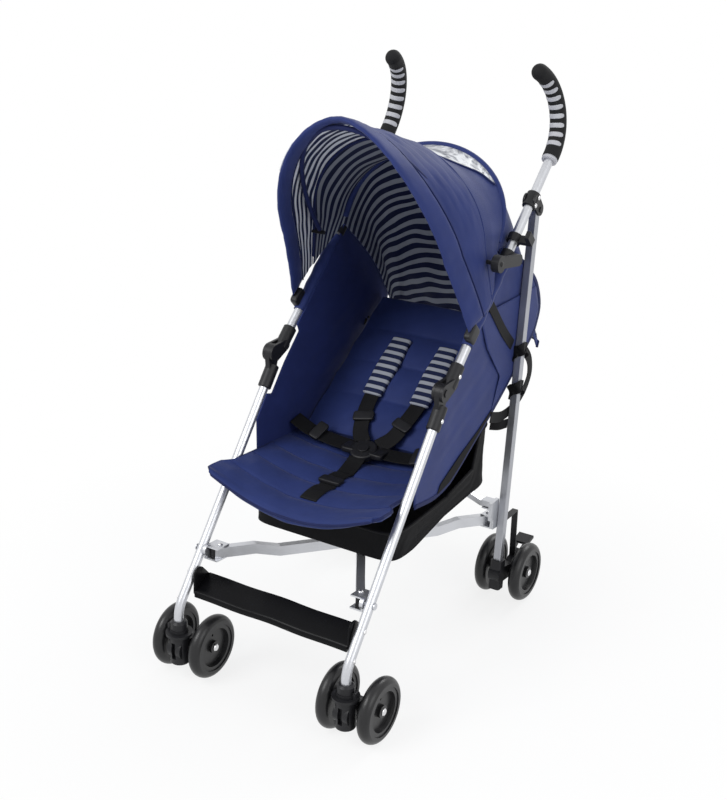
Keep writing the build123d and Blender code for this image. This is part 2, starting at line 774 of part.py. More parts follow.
# Brackets: a clevis round each bar end, riveted to its leg in front, bearing on it behind
shelf_z = bar_h / 2 + gap
back_plate_x = pin_x + bar_w / 2 + 2 * plate_t
for side, sx in sides:
    front_face = leg_inner_x - gap
    with BuildPart(brace_plane(sx * pin_x, brace_front)) as front_bracket:
        plate_in = (back_plate_x - pin_x) * sx
        plate_out = (front_face - pin_x) * sx
        shelf_len = bracket_front + bracket_back
        shelf_y = (bracket_back - bracket_front) / 2
        shelf_w = abs(plate_out) + bracket_in
        shelf_x = sx * (abs(plate_out) - bracket_in) / 2
        for shelf in (-1, 1):
            with Locations((shelf_x, shelf_y, shelf * (shelf_z + plate_t / 2))):
                Box(shelf_w, shelf_len, plate_t)
        with Locations(((plate_in + plate_out) / 2, shelf_y, 0)):
            Box(abs(plate_out - plate_in), shelf_len, 2 * (shelf_z + plate_t))
        Cylinder(brace_pin_d / 2, 2 * (shelf_z + plate_t) + plate_t)
    with BuildPart() as front_pivot_pin:
        add(front_bracket.part)
        boss_mid = sx * (back_plate_x + front_face) / 2
        with Locations(across(front_pivot, boss_mid)):
            Cylinder(pivot_boss_d / 2, front_face - back_plate_x)
        pin_out = side_x + tube_r + gap
        with Locations(across(front_pivot, sx * (front_face + pin_out) / 2)):
            Cylinder(front_pivot_d / 2, pin_out - front_face)
        with Locations(across(front_pivot, sx * (pin_out + rivet_head_t / 2))):
            Cylinder(front_pivot_d * 0.8, rivet_head_t)
    save(front_pivot_pin, f"front_bracket_{side}")

    rear_face = rear_inner_x - gap
    with BuildPart(brace_plane(sx * pin_x, brace_rear)) as rear_bracket:
        plate_in = (back_plate_x - pin_x) * sx
        plate_out = (rear_face - pin_x) * sx
        shelf_len = 2 * bracket_back
        shelf_w = abs(plate_out) + bracket_in
        shelf_x = sx * (abs(plate_out) - bracket_in) / 2
        for shelf in (-1, 1):
            with Locations((shelf_x, 0, shelf * (shelf_z + plate_t / 2))):
                Box(shelf_w, shelf_len, plate_t)
        with Locations(((plate_in + plate_out) / 2, 0, 0)):
            Box(abs(plate_out - plate_in), shelf_len, 2 * (shelf_z + plate_t))
        Cylinder(brace_pin_d / 2, 2 * (shelf_z + plate_t) + plate_t)
    lock_seat = side_point(lock_y, lock_z)
    with BuildPart() as rear_bracket_full:
        add(rear_bracket.part)
        post_low = brace_rear_z + shelf_z
        post_top = lock_z + lock_h / 2 + gap + plate_t
        post_x = sx * (back_plate_x + rear_face) / 2
        with Locations((post_x, lock_y, (post_low + post_top) / 2)):
            Box(rear_face - back_plate_x, 2 * bracket_back, post_top - post_low)
        for shelf in (-1, 1):
            shelf_mid = lock_z + shelf * (lock_h / 2 + gap + plate_t / 2)
            shelf_in = lock_x - lock_t * lock_shelf
            with Locations((sx * (shelf_in + rear_face) / 2, lock_y, shelf_mid)):
                Box(rear_face - shelf_in, lock_t + 2 * plate_t, plate_t)
        with Locations((sx * lock_x, lock_y, lock_z)):
            Cylinder(lock_pin_d / 2, lock_h + 2 * gap + 2 * plate_t)
    save(rear_bracket_full, f"rear_bracket_{side}")

# Rear lock: arched links on the rear brackets, whose tips lap at the middle
for side, sx in sides:
    layer = sx * (lock_h / 4 + gap / 2)
    with BuildPart() as lock_link:
        with BuildSketch(Plane(origin=(0, lock_y, 0), x_dir=(sx, 0, 0), z_dir=(0, -sx, 0))):
            with BuildLine():
                Polyline(
                    (lock_x + lock_t * lock_end, lock_z + lock_h / 2),
                    (lock_x - lock_t, lock_z + lock_h / 2),
                    (lock_x - lock_shoulder - lock_t, lock_z + lock_rise + lock_h / 2),
                    (lock_lap, lock_z + lock_rise + lock_h / 2),
                    (lock_lap, lock_z + lock_rise - lock_h / 2),
                    (lock_x - lock_shoulder - lock_t, lock_z + lock_rise - lock_h / 2),
                    (lock_x - lock_t, lock_z - lock_h / 2),
                    (lock_x + lock_t * lock_end, lock_z - lock_h / 2),
                    close=True,
                )
            make_face()
        extrude(amount=lock_t / 2, both=True)
        tip_z = lock_z + lock_rise + layer
        with Locations((sx * (lock_lap - lock_tip_over) / 2, lock_y, tip_z)):
            Box(lock_lap + lock_tip_over, lock_t, lock_h / 2 - gap)
        with Locations((sx * lock_x, lock_y, lock_z)):
            Cylinder(lock_pin_d / 2 + fit, 2 * lock_h, mode=Mode.SUBTRACT)
    save(lock_link, f"lock_link_{side}")

# Footrest: a plate with a turned-down front lip, and a flange riveted to each front leg
foot_face = leg_inner_x - gap
flange_point = leg_bend + leg_dir * ((foot_y - kingpin_y) / leg_dir.Y)
with BuildPart() as footrest:
    with BuildSketch(side_plane(0)):
        with BuildLine():
            Polyline(
                (foot_back_y, foot_back_z),
                (foot_front_y, foot_front_z),
                (foot_front_y - foot_t * 0.5, foot_front_z - 3 * foot_t),
                (foot_front_y + foot_t * 0.5, foot_front_z - 3 * foot_t),
                (foot_front_y + foot_t, foot_front_z - foot_t),
                (foot_back_y, foot_back_z - foot_t),
                close=True,
            )
        make_face()
    extrude(amount=foot_face - foot_flange_t, both=True)
    for side, sx in sides:
        with BuildSketch(side_plane(sx * (foot_face - foot_flange_t))):
            with Locations(yz(flange_point)):
                Circle(foot_flange_r)
            with Locations((foot_front_y + foot_t, foot_front_z - foot_t)):
                Circle(foot_t)
            with Locations((foot_back_y - foot_t, foot_back_z - foot_t)):
                Circle(foot_t)
            make_hull()
        extrude(amount=sx * foot_flange_t)
save(footrest, "footrest")


def hammock_section(row, half):
    """Seat seam in an upright plane: a sagging band that is thicker at the middle."""
    y, edge_z, sag, thick = row
    with BuildSketch(Plane(origin=(0, y, 0), x_dir=(1, 0, 0), z_dir=(0, -1, 0))) as section:
        low_z = edge_z - seat_edge_t
        with BuildLine():
            ThreePointArc((-half, edge_z), (0, edge_z - sag), (half, edge_z))
            Line((half, edge_z), (half, low_z))
            ThreePointArc((half, low_z), (0, edge_z - sag - thick), (-half, low_z))
            Line((-half, low_z), (-half, edge_z))
        make_face()
    return section.sketch


def seat_width(y):
    """Half width of the seat: full in front of the legs, between the legs behind them."""
    leg_y = leg_bend.Y + (seat_rows[0][1] - leg_bend.Z) * leg_dir.Y / leg_dir.Z
    return seat_front_half if y < leg_y - tube_d else seat_half


def quilted(rows):
    """Seams with a crowned row between each two of them."""
    full = [rows[0]]
    for before, after in zip(rows, rows[1:]):
        y, edge_z, sag, thick = ((p + q) / 2 for p, q in zip(before, after))
        full.append((y, edge_z, sag - seat_crown, thick + seat_crown))
        full.append(after)
    return full


# Seat: a padded hammock with a wide front flap, sewn across into crowned channels
quilt_rows = quilted(seat_rows)
front_rows = [row for row in quilt_rows if seat_width(row[0]) == seat_front_half]
seat_body_rows = [front_rows[-1]] + [row for row in quilt_rows if row not in front_rows]
with BuildPart() as seat_pad:
    loft(sections=[hammock_section(row, seat_half) for row in seat_body_rows], ruled=True)
    loft(sections=[hammock_section(row, seat_front_half) for row in front_rows], ruled=True)
save(seat_pad, "seat_pad")

# Backrest: a crowned pad with channels across it
lean = radians(back_lean)
back_up = Vector(0, sin(lean), cos(lean))
back_front = front_of(back_up)
back_foot = side_point(back_hinge_y, back_hinge_z)
back_seams = 5
with BuildPart() as backrest_pad:
    sections = []
    for step in range(-1, 2 * back_seams - 1):
        share = max(step, 0) / (2 * back_seams - 2)
        half = back_half + (back_top_half - back_half) * share
        crown = back_crown * (1 - abs(share - 0.5)) + (back_quilt if step % 2 else 0.0)
        rise = back_len * share if step >= 0 else -back_skirt
        centre = back_foot + back_up * rise
        with BuildSketch(Plane(origin=centre, x_dir=(1, 0, 0), z_dir=back_up), mode=Mode.PRIVATE) as seam:
            with BuildLine():
                ThreePointArc((-half, -back_t / 2), (0, -back_t / 2 - crown), (half, -back_t / 2))
                Line((half, -back_t / 2), (half, back_t / 2))
                ThreePointArc((half, back_t / 2), (0, back_t / 2 + crown / 2), (-half, back_t / 2))
                Line((-half, back_t / 2), (-half, -back_t / 2))
            make_face()
        sections.append(seam.sketch)
    loft(sections=sections, ruled=True)
    seat_end = Plane(origin=(0, seat_rows[-1][0] + gap, 0), z_dir=(0, 1, 0))
    split(bisect_by=seat_end, keep=Keep.TOP)
save(backrest_pad, "backrest_pad")

def back_spot(share, off):
    """Point at a share of the backrest's length and an offset towards the child."""
    return back_foot + back_up * (back_len * share) + back_front * off


# Side panels: one cloth on each side, from the tubes to the seat and to the edge of the backrest
panel_out = leg_inner_x - gap
low_front = leg_bend + leg_dir * ((panel_low_y - kingpin_y) / leg_dir.Y)
with BuildPart() as side_panels:
    for side, sx in sides:
        socket_end = socket_gap + socket_len + panel_relief
        leg_end = elbow - leg_dir * socket_end
        upper_end = elbow + upper_dir * socket_end
        upper_corner = elbow + upper_dir * (canopy_clamp_s - canopy_clamp_len)
        with BuildSketch(side_plane(sx * panel_out)):
            with BuildLine():
                Polyline(
                    (low_front.Y, seat_rows[2][1] - panel_seat_drop),
                    yz(low_front),
                    yz(leg_end),
                    yz(leg_end - front_of(leg_dir) * panel_inset),
                    yz(elbow - elbow_bisector * panel_inset),
                    yz(upper_end - front_of(upper_dir) * panel_inset),
                    yz(upper_end),
                    yz(upper_corner),
                    yz(back_spot(1.07, wing_rise)),
                    yz(back_spot(wing_over, back_t / 2)),
                    yz(back_spot(1.0, -panel_back_drop)),
                    yz(back_spot(0.43, -back_t)),
                    yz(back_spot(0.0, back_t)),
                    (panel_dip_y, panel_dip_z),
                    close=True,
                )
            make_face()
        extrude(amount=-sx * panel_t)
save(side_panels, "side_panels")


def seat_top(y):
    """Height of the seat's upper face at the middle, between its seams."""
    after = next(row for row in quilt_rows[1:] if row[0] >= y)
    before = quilt_rows[quilt_rows.index(after) - 1]
    share = (y - before[0]) / (after[0] - before[0])
    top_before = before[1] - before[2]
    top_after = after[1] - after[2]
    return top_before + (top_after - top_before) * share


# Harness: webbing from the crotch, the waist and the shoulders to the buckle
buckle_centre = side_point(buckle_y, seat_top(buckle_y) + buckle_lift)
crotch_front = seat_rows[1][0]
crotch_end = buckle_y - buckle_d * 0.55
crotch_ys = [row[0] for row in quilt_rows if crotch_front <= row[0] <= crotch_end - strap_w]
crotch_top = [(y, seat_top(y) + 2 * gap + strap_t) for y in crotch_ys]
crotch_top.append((crotch_end, buckle_centre.Z - buckle_t * 0.4))
with BuildPart() as harness_straps:
    with BuildSketch(side_plane(0)):
        with BuildLine():
            crotch_low = [(y, z - strap_t) for y, z in reversed(crotch_top)]
            Polyline(*crotch_top, *crotch_low, close=True)
        make_face()
    extrude(amount=strap_w / 2, both=True)
    waist_y = buckle_y + strap_w * 0.5
    for side, sx in sides:
        waist_in = buckle_d / 2 + gap
        waist_out = panel_out - panel_t - gap
        waist_drop = buckle_centre.Z
        waist_rise = seat_rows[-2][1] + strap_w * 0.6
        with BuildSketch(Plane(origin=(0, waist_y, 0), x_dir=(sx, 0, 0), z_dir=(0, -sx, 0))):
            with BuildLine():
                Polyline(
                    (waist_in, waist_drop),
                    (waist_out, waist_rise),
                    (waist_out, waist_rise - strap_t),
                    (waist_in, waist_drop - strap_t),
                    close=True,
                )
            make_face()
        extrude(amount=strap_w / 2, both=True)
save(harness_straps, "harness_straps")

# Shoulder pads: two padded sleeves that lie against the backrest
pad_off = back_t / 2 + back_crown + pad_lift
pad_end = back_foot + back_up * (back_len * pad_top_share) + back_front * pad_off
pad_dir = back_up
pad_face = front_of(pad_dir)
with BuildPart() as shoulder_pads:
    for side, sx in sides:
        for share in (0.0, 0.5, 1.0):
            swell = pad_t * (0.75 + 0.25 * (1 - abs(2 * share - 1)))
            spot = pad_end - pad_dir * (pad_len * (1 - share))
            with BuildSketch(Plane(origin=(sx * pad_x, spot.Y, spot.Z), x_dir=(1, 0, 0), z_dir=pad_dir)):
                with BuildLine():
                    edge = pad_t * 0.25
                    ThreePointArc((-pad_w / 2, -edge), (0, -swell / 2), (pad_w / 2, -edge))
                    Line((pad_w / 2, -edge), (pad_w / 2, edge))
                    ThreePointArc((pad_w / 2, edge), (0, swell / 2), (-pad_w / 2, edge))
                    Line((-pad_w / 2, edge), (-pad_w / 2, -edge))
                make_face()
        loft()
save(shoulder_pads, "shoulder_pads")

# Buckle: a round housing with a push button in its face
tilt = radians(buckle_tilt)
buckle_up = Vector(0, -sin(tilt), cos(tilt))
buckle_plane = Plane(origin=buckle_centre, x_dir=(1, 0, 0), z_dir=buckle_up)
with BuildPart() as buckle_housing:
    with BuildSketch(buckle_plane.offset(-buckle_t / 2)):
        Circle(buckle_d / 2)
    extrude(amount=buckle_t)
    fillet(buckle_housing.edges().filter_by(GeomType.CIRCLE), buckle_t * 0.25)
    with BuildSketch(buckle_plane.offset(buckle_t / 2 - button_t)):
        Circle(button_d / 2 + gap)
    extrude(amount=2 * button_t, mode=Mode.SUBTRACT)
save(buckle_housing, "buckle_housing")

with BuildPart() as buckle_button:
    with BuildSketch(buckle_plane.offset(buckle_t / 2 - button_t + button_proud + gap)):
        Circle(button_d / 2)
    extrude(amount=button_t)
    fillet(buckle_button.edges().filter_by(GeomType.CIRCLE).group_by(Axis.Z)[-1], button_t * 0.2)
save(buckle_button, "buckle_button")


def arch_plane(row, shift):
    """Plane of one canopy arch, from its base up to its top, moved along its own normal."""
    base = side_point(row[0], row[1])
    top = side_point(row[2], row[3])
    rise = (top - base).normalized()
    plane = Plane(origin=base, x_dir=(1, 0, 0), z_dir=front_of(rise))
    return plane.offset(shift), (top - base).length


def arch_section(row, inset, drop, shift):
    """One arch of the canopy: leaning sides and an oval top, inset by a cloth's thickness."""
    plane, height = arch_plane(row, shift)
    neck = row[5] - inset
    shoulder = height - row[6]
    foot = row[4] - inset + (row[4] - row[5]) * drop / shoulder
    rise = row[6] - inset
    turns = [radians(half_turn * step / arch_steps) for step in range(arch_steps + 1)]
    oval = [(neck * cos(turn), shoulder + rise * sin(turn)) for turn in turns]
    with BuildSketch(plane) as section:
        with BuildLine():
            Polyline((foot, -drop), *oval, (-foot, -drop), close=True)
        make_face()
    return section.sketch


# Canopy: one arched shell, open in front and below, cut in two at the fold line
inner_shifts = (2.0, 0.0, 0.0, 0.0, 0.0, -2.0)
for half_name, keep_front in (("canopy_front", True), ("canopy_rear", False)):
    with BuildPart() as canopy:
        loft(sections=[arch_section(row, 0.0, 0.0, 0.0) for row in canopy_rows], ruled=True)
        inner_rows = zip(canopy_rows, inner_shifts)
        loft(
            sections=[arch_section(row, canopy_wall, 30.0, shift) for row, shift in inner_rows],
            ruled=True,
            mode=Mode.SUBTRACT,
        )
        with Locations(across(canopy_pivot, 0)):
            Cylinder(canopy_eyelet_d / 2, 2 * (canopy_arm_x + canopy_wall), mode=Mode.SUBTRACT)
        cut_y = canopy_split_y - gap / 2 if keep_front else canopy_split_y + gap / 2
        cut_dir = (0, -1, 0) if keep_front else (0, 1, 0)
        split(bisect_by=Plane(origin=(0, cut_y, 0), z_dir=cut_dir), keep=Keep.TOP)
    save(canopy, half_name)

# Front bow of the canopy: a hoop that turns on the clamp pins
with BuildPart() as canopy_bow_front:
    front_row = canopy_rows[0]
    bow_up = (side_point(front_row[2], front_row[3]) - canopy_pivot).normalized()
    bow_plane = Plane(origin=canopy_pivot, x_dir=(1, 0, 0), z_dir=front_of(bow_up))
    with BuildLine(bow_plane) as bow_path:
        Line((bow_half, 0), (bow_half, bow_foot))
        EllipticalCenterArc((0, bow_foot), bow_half, bow_rise - bow_foot, start_angle=0, arc_size=half_turn)
        Line((-bow_half, bow_foot), (-bow_half, 0))
    bow_start = canopy_pivot + Vector(bow_half, 0, 0)
    with BuildSketch(Plane(origin=bow_start, x_dir=(1, 0, 0), z_dir=bow_up)):
        Circle(bow_d / 2)
    sweep()
    for side, sx in sides:
        with Locations(across(canopy_pivot, sx * bow_half)):
            Cylinder(bow_eye_d / 2, bow_eye_t)
        with Locations(across(canopy_pivot, sx * bow_half)):
            Cylinder(canopy_pin_d / 2 + fit, 2 * bow_eye_t, mode=Mode.SUBTRACT)
save(canopy_bow_front, "canopy_bow_front")

# Canopy clamps on the upper tubes, each with an outer arm, a knob and the pin for the bow
for side, sx in sides:
    clamp_mid = elbow + upper_dir * canopy_clamp_s
    start = clamp_mid - upper_dir * (canopy_clamp_len / 2)
    arm_x = sx * canopy_arm_x
    with BuildPart() as canopy_clamp:
        with BuildSketch(Plane(origin=at_side(start, sx), z_dir=upper_dir)):
            Circle(canopy_clamp_d / 2)
        extrude(amount=canopy_clamp_len)
        with Locations(across(clamp_mid, sx * (side_x + canopy_arm_x) / 2)):
            Cylinder(canopy_arm_r, canopy_arm_x - side_x)
        with BuildSketch(side_plane(arm_x)):
            with Locations(yz(clamp_mid)):
                Circle(canopy_arm_r)
            with Locations(yz(canopy_pivot)):
                Circle(canopy_arm_r)
            make_hull()
        extrude(amount=sx * canopy_arm_t)
        with Locations(across(canopy_pivot, sx * (canopy_arm_x + canopy_knob_t / 2))):
            Cylinder(canopy_knob_d / 2, canopy_knob_t)
        pin_in = bow_half - bow_eye_t / 2
        with Locations(across(canopy_pivot, sx * (pin_in + canopy_arm_x) / 2)):
            Cylinder(canopy_pin_d / 2, canopy_arm_x - pin_in)
        with Locations(Location(Plane(origin=at_side(clamp_mid, sx), z_dir=upper_dir))):
            Cylinder(tube_r + fit, 2 * canopy_clamp_len, mode=Mode.SUBTRACT)
    save(canopy_clamp, f"canopy_clamp_{side}")

# Fold hook: a ring that turns on the right upper tube, with a curved catch
hook_mid = elbow + upper_dir * hook_s
hook_plane = Plane(origin=at_side(hook_mid, 1), x_dir=(1, 0, 0), z_dir=upper_dir)
with BuildPart() as fold_hook:
    with BuildSketch(hook_plane.offset(-hook_len / 2)):
        Circle(hook_d / 2)
        with Locations((hook_reach / 2, 0)):
            Rectangle(hook_reach, hook_t)
        with Locations((hook_reach, -hook_t)):
            Rectangle(hook_t, 3 * hook_t)
        Circle(tube_r + fit, mode=Mode.SUBTRACT)
    extrude(amount=hook_len)
save(fold_hook, "fold_hook")

# Basket: a cloth bag under the seat, open above, with tabs that hold it to the rear legs
with BuildPart() as basket:
    outline = (
        (basket_front_y + 14, basket_front_z),
        (basket_front_y, basket_floor_front_z + basket_wall),
        (basket_front_y + 10, basket_floor_front_z),
        (basket_floor_mid_y, basket_floor_mid_z),
        (basket_rear_y - 10, basket_rear_low_z - 8),
        (basket_rear_y, basket_rear_low_z),
        (basket_rear_top_y, basket_rear_top_z),
        (basket_side_low_y + 30, basket_rear_top_z),
        (basket_side_low_y, basket_side_low_z),
    )
    with BuildSketch(side_plane(0)):
        with BuildLine():
            Polyline(*outline, close=True)
        make_face()
    extrude(amount=basket_half, both=True)
    wall = basket_wall
    with BuildSketch(side_plane(0)):
        with BuildLine():
            Polyline(
                (basket_front_y + 14 + wall, basket_front_z + 2 * wall),
                (basket_front_y + 10 + wall, basket_floor_front_z + wall),
                (basket_floor_mid_y, basket_floor_mid_z + wall),
                (basket_rear_y - 10 - wall, basket_rear_low_z - 8 + wall),
                (basket_rear_y - wall, basket_rear_low_z + wall),
                (basket_rear_top_y - wall, basket_rear_top_z + wall),
                (basket_side_low_y - 40, basket_rear_top_z + wall),
                close=True,
            )
        make_face()
    extrude(amount=basket_half - wall, both=True, mode=Mode.SUBTRACT)
    for side, sx in sides:
        tab_leg = rear_leg_point(basket_rear_top_z - basket_tab_h)
        tab_y0 = basket_rear_top_y - 2 * wall
        tab_y1 = tab_leg.Y + rear_tube / 2
        tab_out = rear_inner_x - gap
        with Locations((
            sx * (basket_half - wall + tab_out) / 2,
            (tab_y0 + tab_y1) / 2,
            basket_rear_top_z - basket_tab_h,
        )):
            Box(tab_out - basket_half + wall, tab_y1 - tab_y0, basket_tab_h)
save(basket, "basket")
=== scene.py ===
# %% [markdown]
# An umbrella stroller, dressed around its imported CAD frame. The frame gives every tube, wheel,
# elbow and bar in metres, with the floor at z = 0 and the child facing -Y. This script adds what
# the frame leaves plain: cloth, webbing, pads, rivets and finishes.

import bmesh
import bpy
import numpy as np
from mathutils import Matrix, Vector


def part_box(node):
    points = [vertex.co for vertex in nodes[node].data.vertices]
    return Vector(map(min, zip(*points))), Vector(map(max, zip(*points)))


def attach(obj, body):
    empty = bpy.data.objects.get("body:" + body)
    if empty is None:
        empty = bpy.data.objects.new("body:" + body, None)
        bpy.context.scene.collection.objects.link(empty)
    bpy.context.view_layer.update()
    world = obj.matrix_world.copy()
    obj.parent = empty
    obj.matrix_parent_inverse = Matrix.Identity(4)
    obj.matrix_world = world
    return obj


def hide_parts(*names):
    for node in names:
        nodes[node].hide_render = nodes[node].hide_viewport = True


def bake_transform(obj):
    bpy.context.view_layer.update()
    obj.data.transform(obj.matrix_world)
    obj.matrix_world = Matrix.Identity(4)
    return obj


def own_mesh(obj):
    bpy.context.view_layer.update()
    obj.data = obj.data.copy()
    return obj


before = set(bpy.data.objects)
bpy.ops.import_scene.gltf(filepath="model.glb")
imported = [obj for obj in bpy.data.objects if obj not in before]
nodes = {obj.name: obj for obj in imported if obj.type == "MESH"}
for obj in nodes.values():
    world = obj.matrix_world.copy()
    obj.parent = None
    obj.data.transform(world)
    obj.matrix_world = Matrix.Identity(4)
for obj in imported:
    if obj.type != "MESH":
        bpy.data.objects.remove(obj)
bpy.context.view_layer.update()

# %% [markdown]
# The camera stands a little above the handles, to the right of the stroller's nose. Its place,
# turn and lens were solved from the wheels, elbows and grips, so pieces land where they belong.

# %% Camera
AZIMUTH, ELEVATION, ROLL = np.radians([31.905, 21.847, 1.007])
CAMERA_AT = np.array([1.2204, -1.9866, 1.4230])
FOCAL_PX, FRAME_H = 1312.7, 800.0
SENSOR = 36.0

back = np.array([np.sin(AZIMUTH) * np.cos(ELEVATION), -np.cos(AZIMUTH) * np.cos(ELEVATION), np.sin(ELEVATION)])
right = np.array([np.cos(AZIMUTH), np.sin(AZIMUTH), 0.0])
up = np.cross(back, right)
cam_x = right * np.cos(ROLL) + up * np.sin(ROLL)
cam_y = up * np.cos(ROLL) - right * np.sin(ROLL)
camera_data = bpy.data.cameras.new("studio_camera")
camera_data.sensor_width = SENSOR
camera_data.lens = FOCAL_PX / FRAME_H * SENSOR
camera = bpy.data.objects.new("studio_camera", camera_data)
bpy.context.collection.objects.link(camera)
camera.matrix_world = Matrix(np.vstack([np.column_stack([cam_x, cam_y, back, CAMERA_AT]), [0, 0, 0, 1]]).tolist())
bpy.context.scene.camera = camera
print("lens", round(camera_data.lens, 2), "mm")

# %% [markdown]
# The studio is a white floor and a soft white room. Big lamps shape the tubes and the cloth. The
# floor keeps the soft shadow under the wheels and fades to plain white away from the stroller.

# %% Studio
scene = bpy.context.scene
scene.view_settings.view_transform = "Standard"
COOL_WHITE = (0.93, 0.96, 1.0, 1)
PAPER_GREY = (0.92, 0.92, 0.92, 1)
FLOOR_HALF = 9.0
FADE = (("From Min", 0.35), ("From Max", 1.0), ("To Min", 0.82), ("To Max", 1.0))


def node_tree(owner, *wanted):
    """Cleared node tree of a material or world, and one new node per type asked for."""
    owner.use_nodes = True
    tree = owner.node_tree
    tree.nodes.clear()
    return [tree] + [tree.nodes.new(kind) for kind in wanted]


def connect(tree, *pairs):
    """Links each (output, input) pair in turn."""
    for output, socket in pairs:
        tree.links.new(output, socket)


def math_node(tree, operation, first, second):
    """Output of a math node on two other outputs."""
    node = tree.nodes.new("ShaderNodeMath")
    node.operation = operation
    connect(tree, (first, node.inputs[0]), (second, node.inputs[1]))
    return node.outputs[0]


def seen_rays(tree):
    """Output that is 1 for rays the camera sees directly, in a mirror or through clear film."""
    path = tree.nodes.new("ShaderNodeLightPath")
    total = path.outputs["Is Camera Ray"]
    for ray in ("Is Glossy Ray", "Is Transmission Ray"):
        total = math_node(tree, "MAXIMUM", total, path.outputs[ray])
    return total


def white_room(strength):
    """World that lights softly and is plain white to the camera and in mirrors."""
    world = bpy.data.worlds.new("white_room")
    tree, out, light, seen, mix = node_tree(
        world, "ShaderNodeOutputWorld", "ShaderNodeBackground", "ShaderNodeBackground", "ShaderNodeMixShader")
    light.inputs["Color"].default_value = COOL_WHITE
    light.inputs["Strength"].default_value = strength
    seen.inputs["Color"].default_value = (1, 1, 1, 1)
    seen.inputs["Strength"].default_value = 1.0
    connect(tree, (seen_rays(tree), mix.inputs[0]), (light.outputs[0], mix.inputs[1]),
            (seen.outputs[0], mix.inputs[2]), (mix.outputs[0], out.inputs[0]))
    scene.world = world


def unit(vector):
    """Vector of length 1 along a vector."""
    return np.asarray(vector, float) / np.linalg.norm(vector)


def soft_lamp(name, place, target, size, watts):
    """Square area lamp at a place, turned to a target."""
    data = bpy.data.lights.new(name, "AREA")
    data.size, data.energy = size, watts
    lamp = bpy.data.objects.new(name, data)
    bpy.context.collection.objects.link(lamp)
    away = unit(np.subtract(place, target))
    side = unit(np.cross((0, 0, 1), away))
    turn = np.column_stack([side, np.cross(away, side), away, place])
    lamp.matrix_world = Matrix(np.vstack([turn, [0, 0, 0, 1]]).tolist())


white_room(0.48)
soft_lamp("key", (-1.3, -2.6, 3.0), (0, 0, 0.6), 1.8, 72)
soft_lamp("fill", (3.0, -1.0, 2.0), (0, 0, 0.6), 2.2, 31)
soft_lamp("rim", (0.5, 2.6, 2.8), (0, 0.1, 0.8), 1.6, 40)


def link_mesh(name, verts, faces):
    """New object at the origin from vertex and face arrays."""
    mesh = bpy.data.meshes.new(name)
    mesh.from_pydata(np.asarray(verts, float).reshape(-1, 3).tolist(), [], np.asarray(faces).tolist())
    obj = bpy.data.objects.new(name, mesh)
    bpy.context.collection.objects.link(obj)
    return obj


floor_corners = np.array([(-1, -1, 0), (1, -1, 0), (1, 1, 0), (-1, 1, 0)]) * FLOOR_HALF
floor = link_mesh("studio_floor", floor_corners, [(0, 1, 2, 3)])
paper = bpy.data.materials.new("studio_paper")
tree, out, matte, glow, mix, place, far, fade = node_tree(
    paper, "ShaderNodeOutputMaterial", "ShaderNodeBsdfDiffuse", "ShaderNodeEmission", "ShaderNodeMixShader",
    "ShaderNodeTexCoord", "ShaderNodeVectorMath", "ShaderNodeMapRange")
matte.inputs["Color"].default_value = PAPER_GREY
glow.inputs["Strength"].default_value = 1.0
far.operation = "LENGTH"
for socket, value in FADE:
    fade.inputs[socket].default_value = value
weight = math_node(tree, "MULTIPLY", seen_rays(tree), fade.outputs[0])
connect(tree, (place.outputs["Object"], far.inputs[0]), (far.outputs["Value"], fade.inputs["Value"]),
        (weight, mix.inputs[0]), (matte.outputs[0], mix.inputs[1]), (glow.outputs[0], mix.inputs[2]),
        (mix.outputs[0], out.inputs[0]))
floor.data.materials.append(paper)

# %% [markdown]
# Finishes come next. Each one starts as a Principled shader with a bump, and gets a little
# change of colour and gloss from noise, so no surface is one flat colour. Cloth reads its own UV
# map in metres, so the weave and the stripes follow the sheet; plastic and metal read Object
# coordinates.

# %% Finishes for metal and plastic
CLOUD_AT = (0.3, 0.7)
CLOUD_SIZE = {"mould": 26.0, "cloth": 14.0}
GLOSS_FROM, GLOSS_TO = 0.85, 1.2


def principled(name, color, roughness, metallic=0.0, **sockets):
    """Material with one Principled shader; other sockets are set by their own names."""
    material = bpy.data.materials.new(name)
    tree, out, shader = node_tree(material, "ShaderNodeOutputMaterial", "ShaderNodeBsdfPrincipled")
    shader.inputs["Base Color"].default_value = (*color, 1)
    shader.inputs["Roughness"].default_value = roughness
    shader.inputs["Metallic"].default_value = metallic
    for socket, value in sockets.items():
        shader.inputs[socket.replace("_", " ")].default_value = value
    tree.links.new(shader.outputs[0], out.inputs[0])
    return material, tree, shader


def texture(tree, kind, coords, scale, **settings):
    """Texture node of a kind on a coordinate output, with its scale and other sockets."""
    node = tree.nodes.new(kind)
    tree.links.new(coords, node.inputs["Vector"])
    node.inputs["Scale"].default_value = scale
    for socket, value in settings.items():
        node.inputs[socket].default_value = value
    return node


def ramp(tree, factor, low, high, at):
    """Colour ramp between two colours at two places."""
    node = tree.nodes.new("ShaderNodeValToRGB")
    node.color_ramp.elements[0].position, node.color_ramp.elements[1].position = at
    node.color_ramp.elements[0].color = (*low, 1)
    node.color_ramp.elements[1].color = (*high, 1)
    tree.links.new(factor, node.inputs[0])
    return node


def bump(tree, shader, height, strength, distance):
    """Bump node from a height output to the shader's normal."""
    node = tree.nodes.new("ShaderNodeBump")
    node.inputs["Strength"].default_value = strength
    node.inputs["Distance"].default_value = distance
    connect(tree, (height, node.inputs["Height"]), (node.outputs[0], shader.inputs["Normal"]))


def cloudy(tree, shader, coords, color, spread, size, detail):
    """Noise that varies the base colour by a share either way; returns its output."""
    cloud = texture(tree, "ShaderNodeTexNoise", coords, size, Detail=detail).outputs["Fac"]
    low, high = np.array(color) * (1 - spread), np.array(color) * (1 + spread)
    connect(tree, (ramp(tree, cloud, low, high, CLOUD_AT).outputs[0], shader.inputs["Base Color"]))
    return cloud


